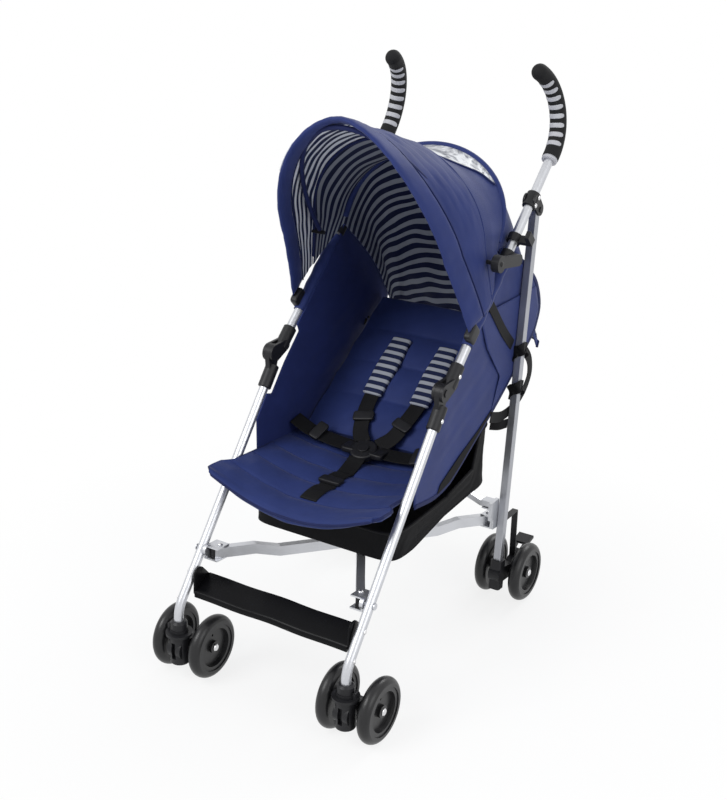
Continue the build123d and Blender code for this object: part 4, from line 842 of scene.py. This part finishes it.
PANEL_X, EDGE_X, FACING_X = 0.1764, 0.1766, 0.1771
PANEL_SLACK, PANEL_THICK, FACING_THICK = 0.0035, 0.0022, 0.0006
PANEL_TUBE_SIDE = resample([
    (-0.130, 0.4510), leg_at(0.076), leg_at(0.070) - front_of(leg_dir) * 0.016, ELBOW + np.array([0.012, -0.013]),
    upper_at(0.070) - front_of(upper_dir) * 0.016, upper_at(0.076), upper_at(0.274)], 110)
PANEL_REAR_SIDE = resample(np.concatenate([
    smooth_path([(-0.130, 0.362), (-0.046, 0.353), (0.000, 0.361), (0.036, 0.378), (0.100, 0.414),
                 (0.166, 0.450), (0.250, 0.504), (0.322, 0.556)], 120),
    smooth_path([(0.342, 0.572), (0.358, 0.612), (0.340, 0.664), (0.284, 0.716), (0.222, 0.757),
                 (0.172, 0.778)], 90)]), 110)
panel_share = np.linspace(0, 1, 56)
panel_along = np.linspace(0, 1, 110)[:, None]
panel_flat = between(PANEL_TUBE_SIDE, PANEL_REAR_SIDE, panel_share)
panel_slack = np.sin(np.pi * panel_share)[None] * np.sin(np.pi * panel_along)
PANEL_FACINGS = (
    # sewn-on sheets, a blue wing and a black skirt: their front or upper line, and their rear or lower line
    ("wing_facing", blue_cloth, [(0.160, 0.4470), (0.192, 0.516), (0.129, 0.592), (0.093, 0.664)],
     [(0.170, 0.4525), (0.250, 0.5050), (0.322, 0.5575), (0.342, 0.574), (0.356, 0.612), (0.336, 0.664)]),
    ("panel_skirt", basket_cloth, [(-0.047, 0.3550), (-0.036, 0.371), (0.039, 0.404), (0.109, 0.430), (0.163, 0.455)],
     [(-0.045, 0.3545), (0.000, 0.3620), (0.036, 0.3790), (0.100, 0.4150), (0.162, 0.4485)]),
)


def facing(name, material, first, second, side, sx):
    """Thin sheet between two side-view lines, just outside the panel: straight runs from line to line."""
    flat = between(resample(first, 60), resample(second, 60), np.linspace(0, 1, 30))
    points = np.concatenate([np.full((60, 30, 1), sx * FACING_X), flat], axis=-1)
    points = points if (sx > 0) == (name == "wing_facing") else points[:, ::-1]
    sheet = grid_piece(f"{name}_{side}", points, material)
    thicken(sheet, FACING_THICK)
    return sheet


def gathers(side, slot, *pieces):
    """Side cloth rides on its front leg, each piece with a mesh of its own."""
    for piece in pieces:
        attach(piece, f"front_leg_{side}")
        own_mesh(piece)


for side, sx in SIDES:
    creases = ripple(panel_along * 2.6, panel_share[None] * 2.2, 0.0014, sx) * panel_slack
    inward = PANEL_X - PANEL_SLACK * panel_slack + creases
    points = np.concatenate([sx * inward[..., None], panel_flat], axis=-1)
    points = points if sx > 0 else points[:, ::-1]
    panel = grid_piece(f"side_panel_{side}", points, [blue_cloth, inner_cloth])
    thicken(panel, PANEL_THICK, 1)
    if side == "left":
        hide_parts("side_panels")
    edge_path = np.concatenate([np.full((110, 1), sx * EDGE_X), PANEL_REAR_SIDE], axis=1)
    edge = strap_piece(f"panel_edge_{side}", edge_path[:-3], (sx, 0, 0), 0.009, 0.0020, binding_cloth)
    gathers(side, "seat_fabric", panel, edge, *[facing(*row, side, sx) for row in PANEL_FACINGS])

# %% [markdown]
# The backrest is a crowned pad with sewn channels, hinged at the back of the seat. It swells
# between its seams and draws in at its sides.

# %% Backrest
BACK_START, BACK_HALF = -0.0085, 0.1705
BACK_CHANNELS = 4


def back_spot(rise, off):
    """Side-view points at heights along the backrest and offsets towards the child."""
    return BACK_FOOT + back_up * np.asarray(rise)[..., None] + back_front * np.asarray(off)[..., None]


def back_point(x, rise, off):
    """The same points with their places across."""
    return np.concatenate([np.asarray(x)[..., None], back_spot(rise, off)], axis=-1)


def back_face(x, rise, half):
    """Height of the child's side over the pad's middle plane: crown, channels and drawn-in sides."""
    share = np.clip(rise / BACK_LEN, 0, 1)
    crown = 0.014 * (1 - np.abs(share - 0.5)) + 0.0075 * np.abs(np.sin(np.pi * share * BACK_CHANNELS)) ** 0.6
    return BACK_T / 2 + crown * (1 - (x / half) ** 2)


back_rise = np.concatenate([[BACK_START] * 3, np.linspace(BACK_START, BACK_LEN, 110), [BACK_LEN] * 3])
back_close = np.concatenate([[0, 0.55, 0.85], np.ones(110), [0.85, 0.55, 0]])[:, None]
back_over = np.concatenate([[-0.001, -0.0008, -0.0004], np.zeros(110), [0.003, 0.006, 0.007]])
back_share = np.clip(back_rise / BACK_LEN, 0, 1)
back_half = (BACK_HALF - 0.004 * back_share
             - 0.0025 * np.abs(np.cos(np.pi * back_share * BACK_CHANNELS)))[:, None]
back_s = np.sin(np.linspace(-1, 1, 80) * np.pi / 2)[None]
back_x = back_half * back_s
face = back_face(back_x, back_rise[:, None], back_half) + ripple(back_x * 10, back_rise[:, None] * 10, 0.001, 9)
rear = -BACK_T / 2 - 0.005 * (1 - back_s**2)
rise_grid = (back_rise + back_over)[:, None] * np.ones_like(back_x)
pad_front = back_point(back_x, rise_grid, face * back_close)
pad_rear = back_point(back_x, rise_grid, rear * back_close)[:, ::-1]
backrest = closed_piece("backrest_cushion", np.concatenate([pad_front, pad_rear], axis=1), seat_cloth)
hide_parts("backrest_pad")
folds("backrest", "seat_fabric", backrest)
print("backrest", len(backrest.data.vertices), "points")

# %% [markdown]
# The harness is black webbing: a crotch strap, two waist straps and two shoulder straps that meet
# at a round buckle. Striped pads slide on the shoulder straps. Straps are modelled directly.

# %% Harness
BUCKLE = np.mean([np.array(c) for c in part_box("buckle_housing")], axis=0)
STRAP_W, STRAP_T, CROTCH_W = 0.033, 0.0018, 0.036
PAD_LEN, PAD_X, PAD_TOP, PAD_OFF = 0.140, 0.054, 0.68, 0.0296
PAD_HALF, PAD_THICK, PAD_SWELL = 0.023, 0.0060, 0.0012
CROTCH_CLIP_Y = -0.135
SLIDER_SIZE, PRONG_SIZE, CROTCH_CLIP_SIZE = (0.022, 0.043, 0.008), (0.032, 0.044, 0.012), (0.047, 0.024, 0.008)
SLIDER_UP = np.array([0, -0.4, 0.9])


def by_buckle(x, y, z):
    """Point at an offset from the middle of the buckle."""
    return x, BUCKLE[1] + y, BUCKLE[2] + z


pad_start = back_spot(BACK_LEN * PAD_TOP - PAD_LEN, PAD_OFF)
crotch_y = np.linspace(-0.212, -0.085, 30)
crotch = np.stack([np.zeros(30), crotch_y, seat_top_at(np.zeros(30), crotch_y) + 0.0022], axis=1)
crotch_end = smooth_path([crotch[-1], (0, -0.062, BUCKLE[2] - 0.012), by_buckle(0, -0.024, -0.004)], 12)
crotch_strap = strap_piece("crotch_strap", np.concatenate([crotch, crotch_end[1:]]), (0, 0, 1), CROTCH_W, STRAP_T)
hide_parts("harness_straps")
folds("seat", "webbing", crotch_strap)


def climbs(piece):
    """Shoulder pieces go from the seat at the buckle over to the backrest at the foot of the pads."""
    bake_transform(piece)


def slider(name, spot, lean_to):
    """Adjuster on a strap that runs along a direction."""
    long_axis = unit(lean_to)
    flat_axis = unit(SLIDER_UP - long_axis * np.dot(SLIDER_UP, long_axis))
    axes = np.stack([long_axis, np.cross(flat_axis, long_axis), flat_axis])
    return block_piece(name, spot, axes, SLIDER_SIZE, 0.3)


for side, sx in SIDES:
    waist = smooth_path([by_buckle(sx * 0.030, 0.006, 0.002), by_buckle(sx * 0.085, 0.012, 0.002),
                         by_buckle(sx * 0.135, 0.008, 0.014), by_buckle(sx * 0.166, 0.006, 0.030)], 40)
    folds("seat", "webbing", strap_piece(f"waist_strap_{side}", waist, (0, -0.3, 1), STRAP_W, STRAP_T))
    shoulder = smooth_path([by_buckle(sx * 0.017, 0.022, 0.006), by_buckle(sx * 0.034, 0.040, 0.018),
                            (sx * 0.047, 0.055, 0.434), (sx * 0.053, *(pad_start - back_up * 0.004)),
                            (sx * PAD_X, *(pad_start + back_up * 0.012))], 40)
    climbs(strap_piece(f"shoulder_strap_{side}", shoulder, (0, -0.7, 0.7), STRAP_W, STRAP_T))
for side, sx in SIDES:
    waist_clip = slider(f"waist_slider_{side}", by_buckle(sx * 0.112, 0.010, 0.013), (sx, 0, 0.35))
    climbs(slider(f"shoulder_slider_{side}", (sx * 0.044, 0.046, 0.4295), (sx * 0.3, 0.8, 0.5)))
    prong = block_piece(f"buckle_prong_{side}", by_buckle(sx * 0.031, 0.008, 0), np.eye(3), PRONG_SIZE, 0.35)
    folds("seat", "black_plastic", waist_clip, prong)
crotch_top = float(seat_top_at(np.zeros(1), np.array([CROTCH_CLIP_Y]))[0])
crotch_clip = block_piece("crotch_slider", (0.0, CROTCH_CLIP_Y, crotch_top + 0.004), np.eye(3), CROTCH_CLIP_SIZE, 0.3)
folds("seat", "black_plastic", crotch_clip)

pad_t = np.concatenate([[0, 0, 0], np.linspace(0, 1, 40), [1, 1, 1]])
pad_close = np.concatenate([[0, 0.6, 0.88], np.ones(40), [0.88, 0.6, 0]])[:, None]
pad_reach = np.concatenate([[-0.004, -0.003, -0.0015], np.zeros(40), [0.0015, 0.003, 0.004]])
pad_turn = full_turn(40)
pad_width = PAD_HALF * (1 - 0.06 * np.cos(2 * np.pi * pad_t))[:, None]
pad_thick = (PAD_THICK + PAD_SWELL * np.sin(np.pi * pad_t))[:, None]
pad_x = squared(np.cos(pad_turn), 0.5) * pad_width * (0.35 + 0.65 * pad_close)
pad_off = squared(np.sin(pad_turn), 0.8) * pad_thick * pad_close
pad_line = pad_start + back_up * (pad_t * PAD_LEN + pad_reach)[:, None]
pad_flat = pad_line[:, None] + back_front * pad_off[..., None]
for side, sx in SIDES:
    pad_points = np.concatenate([(sx * PAD_X + pad_x)[..., None], pad_flat], axis=-1)
    pad = closed_piece(f"shoulder_pad_{side}", pad_points, pad_cloth)
    if side == "left":
        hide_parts("shoulder_pads")
    folds("backrest", "pad_fabric", pad)
print("buckle at", np.round(BUCKLE, 3), "and pads from", np.round(pad_start, 3))

# %% [markdown]
# The basket is a black cloth bag. Its rim follows a rounded rectangle that climbs at the back, and
# each column of the grid runs from the rim down the wall and in to the middle of a sagging floor.

# %% Basket
BAG_MID, BAG_HALF_X, BAG_HALF_Y, BAG_CORNER = 0.014, 0.1635, 0.186, 0.18
WALL_SHARE, FLOOR_FROM = 0.55, 0.45
BAG_THICK, HEM_R = 0.0016, 0.003
turn = full_turn(150)
rim_x = BAG_HALF_X * squared(np.cos(turn), BAG_CORNER)
rim_y = BAG_MID + BAG_HALF_Y * squared(np.sin(turn), BAG_CORNER)
rim_z = np.interp(rim_y, [-0.172, 0.06, 0.116, 0.146, 0.20], [0.316, 0.320, 0.330, 0.410, 0.414])
depth_v = np.linspace(0, 1, 60)
wall = np.clip(depth_v / WALL_SHARE, 0, 1)[:, None]
inner = np.clip((depth_v - FLOOR_FROM) / WALL_SHARE, 0, 1)[:, None]
pull = np.cos(inner * np.pi / 2) ** 0.42
floor_z = np.interp(rim_y, [-0.172, -0.10, 0.05, 0.20], [0.2590, 0.2610, 0.2860, 0.2840])[None]
floor_z = floor_z - 0.0015 * np.sin(inner * np.pi)
bag_x = rim_x[None] * pull * (1 - 0.02 * np.sin(np.pi * wall))
bag_y = BAG_MID + (rim_y[None] - BAG_MID) * pull
bag_z = rim_z[None] + (floor_z - rim_z[None]) * np.sin(wall * np.pi / 2) ** 1.2
bag_x = bag_x + ripple(turn[None] * 2.2, depth_v[:, None] * 4, 0.0012, 3) * np.sin(np.pi * wall)
bag_points = np.stack([bag_x, bag_y, bag_z], axis=-1)
bag = grid_piece("basket_bag", bag_points[:, ::-1], basket_cloth, wrap=True)
thicken(bag, BAG_THICK)
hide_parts("basket")
bag_rim = np.stack([rim_x, rim_y, rim_z], axis=1)
bag_hem = tube_piece("basket_rim", np.concatenate([bag_rim, bag_rim[:2]]), HEM_R, black_webbing, (0, 0, 1), 10)
folds("hub", "basket_fabric", bag, bag_hem)
for side, sx in SIDES:
    tab = smooth_path([(sx * 0.158, 0.200, 0.404), (sx * 0.170, 0.212, 0.402), (sx * 0.1772, 0.238, 0.400)], 20)
    folds("hub", "basket_fabric", strap_piece(f"basket_tab_{side}", tab, (sx * 0.7, -0.7, 0), 0.020, 0.002))

# %% [markdown]
# The footrest is a sheet of glossy black plastic with its front edge turned down, held at each end
# by an ear on the leg. It is thin enough to crumple when the frame folds, so it is a new piece: a
# closed outline carried across, and an ear drawn as the hull of three circles.

# %% Footrest
FOOT_END, FOOT_WAVE, FOOT_PIVOT = 0.1687, 0.0012, 0.0732
foot_line = np.array([(-0.292, 0.197), (-0.332, 0.1801), (-0.3370, 0.1772), (-0.3392, 0.1735), (-0.3390, 0.1660),
                      (-0.3350, 0.1658), (-0.3336, 0.1722), (-0.3310, 0.1752), (-0.292, 0.1930)])
foot_outline = resample(np.concatenate([foot_line, foot_line[:1]]), 61)[:-1]
foot_x = np.linspace(-FOOT_END, FOOT_END, 50)
foot_sag = FOOT_WAVE * np.cos(foot_x * 40) * np.cos(foot_x / FOOT_END * np.pi / 2)
foot_flat = foot_outline[None] + foot_sag[:, None, None] * [0, 1]
foot_grid = np.concatenate([np.broadcast_to(foot_x[:, None, None], (50, 60, 1)), foot_flat], axis=-1)
middle = np.broadcast_to(foot_grid.mean(axis=1, keepdims=True), foot_grid.shape)
foot_plate = closed_piece("footrest_sheet", np.concatenate([middle[:1], foot_grid, middle[-1:]]), gloss_sheet)
foot_plate.modifiers.new("edge_split", "EDGE_SPLIT").split_angle = np.radians(40)
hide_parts("footrest")
folds("seat", "black_plastic", foot_plate)
ear_dir = round_profile(1.0, 72)
ear_mid = np.array([LEG_BEND + leg_dir * FOOT_PIVOT, (-0.333, 0.174), (-0.296, 0.193)])
ear_r = np.array([0.015, 0.0045, 0.0045])
furthest = np.argmax(ear_dir @ ear_mid.T + ear_r, axis=1)
ear_outline = ear_mid[furthest] + ear_dir * ear_r[furthest][:, None]
ear_depth = np.array([0.0, 0.0, 0.0008, 0.0032, 0.0040, 0.0040])[:, None, None] * np.ones((1, 72, 1))
ear_grow = np.array([0.0, 0.96, 1.0, 1.0, 0.96, 0.0])[:, None, None]
ear_flat = ear_outline.mean(axis=0) + (ear_outline - ear_outline.mean(axis=0))[None] * ear_grow
for side, sx in SIDES:
    ear_points = np.concatenate([sx * (FOOT_END + ear_depth), ear_flat], axis=-1)
    folds("seat", "black_plastic", closed_piece(f"footrest_ear_{side}", ear_points, gloss_sheet))
print("footrest", len(foot_plate.data.vertices), "points")

# %% [markdown]
# The grips are black foam with light patches set into the side that faces forward. Each patch is
# a small curved sheet that follows the bend: its middle looks at the centre of the bend.

# %% Grip patches
BEND_R, GRIP_R, HANDLE_LEAN = 0.097, 0.0162, np.radians(11.0)
PATCH_HALF_BEND, PATCH_HALF_WRAP = 3.4, 82.0
PATCH_RISE, PATCH_SINK = 0.0009, 0.0003
PATCH_TURNS = np.linspace(12.0, 94.0, 8)
GRIP_RING = [(0.0093, -0.003), (0.0150, -0.003), (0.0158, 0.0), (0.0150, 0.004), (0.0093, 0.004)]
RING_BELOW = 0.012
UPPER_LEN = float(np.linalg.norm(GRIP_START - ELBOW))
a = np.linspace(-1, 1, 15)[:, None]
b = np.linspace(-1, 1, 33)[None]
for side, sx in SIDES:
    along3 = np.array([0, *upper_dir])
    into = np.array([0, *front_of(upper_dir)]) * np.cos(HANDLE_LEAN) + np.array([-sx, 0, 0]) * np.sin(HANDLE_LEAN)
    across = np.cross(along3, into)
    start = np.array([sx * SIDE, *GRIP_START])
    for number, middle in enumerate(PATCH_TURNS):
        bend = np.radians(middle + PATCH_HALF_BEND * a * np.ones_like(b))
        wrap = np.radians(PATCH_HALF_WRAP) * b * (1 - 0.10 * a**4)
        bend = np.radians(middle) + (bend - np.radians(middle)) * (1 - 0.55 * np.abs(b) ** 6)
        centre = start + (along3 * np.sin(bend)[..., None] + into * (1 - np.cos(bend))[..., None]) * BEND_R
        inward = into * np.cos(bend)[..., None] - along3 * np.sin(bend)[..., None]
        lift = GRIP_R + PATCH_RISE * (1 - a**6) * (1 - b**6) - PATCH_SINK
        out = inward * np.cos(wrap)[..., None] + across * np.sin(wrap)[..., None]
        patch = grid_piece(f"grip_patch_{side}_{number}", centre + out * lift[..., None], grip_grey)
        sits(f"upper_{side}", "foam_grip", patch)
    ring_at = np.array([sx * SIDE, *upper_at(UPPER_LEN - RING_BELOW)])
    sits(f"upper_{side}", "foam_grip", lathe_piece(f"grip_ring_{side}", GRIP_RING, ring_at, along3, grip_grey))
print(len(PATCH_TURNS), "patches on each grip")

# %% [markdown]
# Rivets and end plugs finish the joints. A rivet is a low dome turned about its axis. The square
# bars end in black plugs.

# %% Rivets and plugs
DOME = [(0.0, 0.0022), (0.0022, 0.0020), (0.0040, 0.0012), (0.0048, 0.0), (0.0050, -0.0006), (0.0, -0.0006)]
KNOB_FACE = 0.2221
BAR_ACROSS, BAR_ALONG = 0.156, 0.24727
PLUG_PAST, PLUG_SIZE, PIN_UP = 0.0150, (0.0056, 0.0170, 0.0210), 0.0148


def rivet(name, at, axis, body, size=1.0, material=bright_steel):
    """Dome that sits on a face and rides on a body."""
    sits(body, "steel", lathe_piece(name, np.array(DOME) * size, at, axis, material, 20))


for side, sx in SIDES:
    out = (sx, 0, 0)
    for label, spot, reach, body in (
            ("elbow_low", leg_at(0.046), 0.0130, f"front_leg_{side}"),
            ("elbow_top", upper_at(0.044), 0.0130, f"upper_{side}"),
            ("clamp_a", upper_at(0.424), 0.0135, f"upper_{side}"),
            ("clamp_b", upper_at(0.442), 0.0135, f"upper_{side}"),
            ("foot", LEG_BEND + leg_dir * FOOT_PIVOT, 0.0090, f"front_leg_{side}"),
            ("leg_low", LEG_BEND + leg_dir * 0.020, 0.0090, f"front_leg_{side}")):
        rivet(f"rivet_{label}_{side}", (sx * (SIDE + reach), *spot), out, body, 0.9)
    rivet(f"rivet_knob_{side}", (sx * KNOB_FACE, *CANOPY_KNOB), out, f"upper_{side}", 1.1, black_mould)

brace_back = np.array([0, 0.492, -0.050]) / np.hypot(0.492, 0.050)
brace_up = np.array([0, 0.050, 0.492]) / np.hypot(0.492, 0.050)
brace_mid = np.array([0, -0.030, 0.213])
for bar, slant in (("a", 1), ("b", -1)):
    bar_dir = np.array([slant * BAR_ACROSS, 0, 0]) + brace_back * BAR_ALONG
    length = np.linalg.norm(bar_dir)
    bar_dir = bar_dir / length
    axes = np.stack([bar_dir, np.cross(brace_up, bar_dir), brace_up])
    for label, end in (("front", -1), ("rear", 1)):
        tip = brace_mid + bar_dir * end * (length + PLUG_PAST)
        sits(f"bar_{bar}", "black_plastic", block_piece(f"bar_plug_{bar}_{label}", tip, axes, PLUG_SIZE, 0.16))
        pin_top = brace_mid + bar_dir * end * length + brace_up * PIN_UP
        rivet(f"bar_pin_{bar}_{label}", pin_top, brace_up, f"bar_{bar}")
print("rivets and plugs set")

# %% [markdown]
# The upper tubes are sleeved in cloth where the canopy and the back curtain are sewn on, and
# black straps hold the back to the rear legs.

# %% Tube sleeves and rear straps
SLEEVE_R, SLEEVE_THICK = 0.0108, 0.0006
sleeve_s = np.linspace(0.106, 0.284, 50)
sleeve_turn = full_turn(24)
profile = round_profile(1.0, 24)
radius = SLEEVE_R + 0.0006 * np.sin(sleeve_s * 160)[:, None] + 0.0004 * np.sin(sleeve_turn * 3 + 1)[None]
for side, sx in SIDES:
    path = np.stack([np.full(50, sx * SIDE), *(ELBOW[:, None] + upper_dir[:, None] * sleeve_s)], axis=1)
    _, side_axis, normal_axis = frames(path, (1, 0, 0))
    ring = side_axis[:, None] * profile[None, :, :1] + normal_axis[:, None] * profile[None, :, 1:]
    skin = path[:, None] + ring * radius[..., None]
    sleeve = grid_piece(f"tube_sleeve_{side}", skin, blue_cloth, wrap=True)
    thicken(sleeve, SLEEVE_THICK)
    sits(f"upper_{side}", "canopy_fabric", sleeve)

REAR_STRAPS = (
    # the upper strap runs over the panel to the leg, the lower one hangs behind it in a loop
    ("panel_strap", [(0.1786, 0.130, 0.680), (0.1786, 0.160, 0.646), (0.1786, 0.191, 0.611), (0.1786, 0.220, 0.583),
                     (0.1786, 0.237, 0.568)]),
    ("recline_strap", [(0.1790, 0.276, 0.549), (0.1790, 0.302, 0.533), (0.1788, 0.323, 0.507), (0.1782, 0.327, 0.480),
                       (0.1772, 0.311, 0.453), (0.1762, 0.276, 0.432), (0.1764, 0.214, 0.424),
                       (0.1784, 0.158, 0.440)]),
)
REAR_STRAP_W, REAR_STRAP_T = 0.022, 0.0014
LOOP_HALF, LOOP_SLANT, LOOP_CORNER = 0.0100, 0.012, 0.35
LOOP_HEIGHTS = (0.548, 0.470)
REAR_FOOT = np.array([0.214, 0.070])
rear_dir = np.array([0.09208, 0.99575])
rear_at = lambda z: REAR_FOOT + rear_dir * (z - REAR_FOOT[1]) / rear_dir[1]
for side, sx in SIDES:
    for number, height in enumerate(LOOP_HEIGHTS):
        mid = rear_at(height)
        turn = np.linspace(0, 2 * np.pi, 49)
        ring = np.stack([sx * SIDE + LOOP_HALF * squared(np.cos(turn), LOOP_CORNER),
                         mid[0] + LOOP_HALF * squared(np.sin(turn), LOOP_CORNER),
                         mid[1] + LOOP_SLANT * np.cos(turn + 0.4 * sx)], axis=1)
        loop = strap_piece(f"leg_loop_{side}_{number}", ring, (0, 0, 1), 0.0022, 0.022)
        sits(f"rear_leg_{side}", "webbing", loop)
    for name, route in REAR_STRAPS:
        path = smooth_path(np.array(route) * (sx, 1, 1), 70)
        strap = strap_piece(f"{name}_{side}", path, (sx, 0, 0), REAR_STRAP_W, REAR_STRAP_T)
        gathers(side, "webbing", strap)
print(len(REAR_STRAPS), "rear straps on each side")
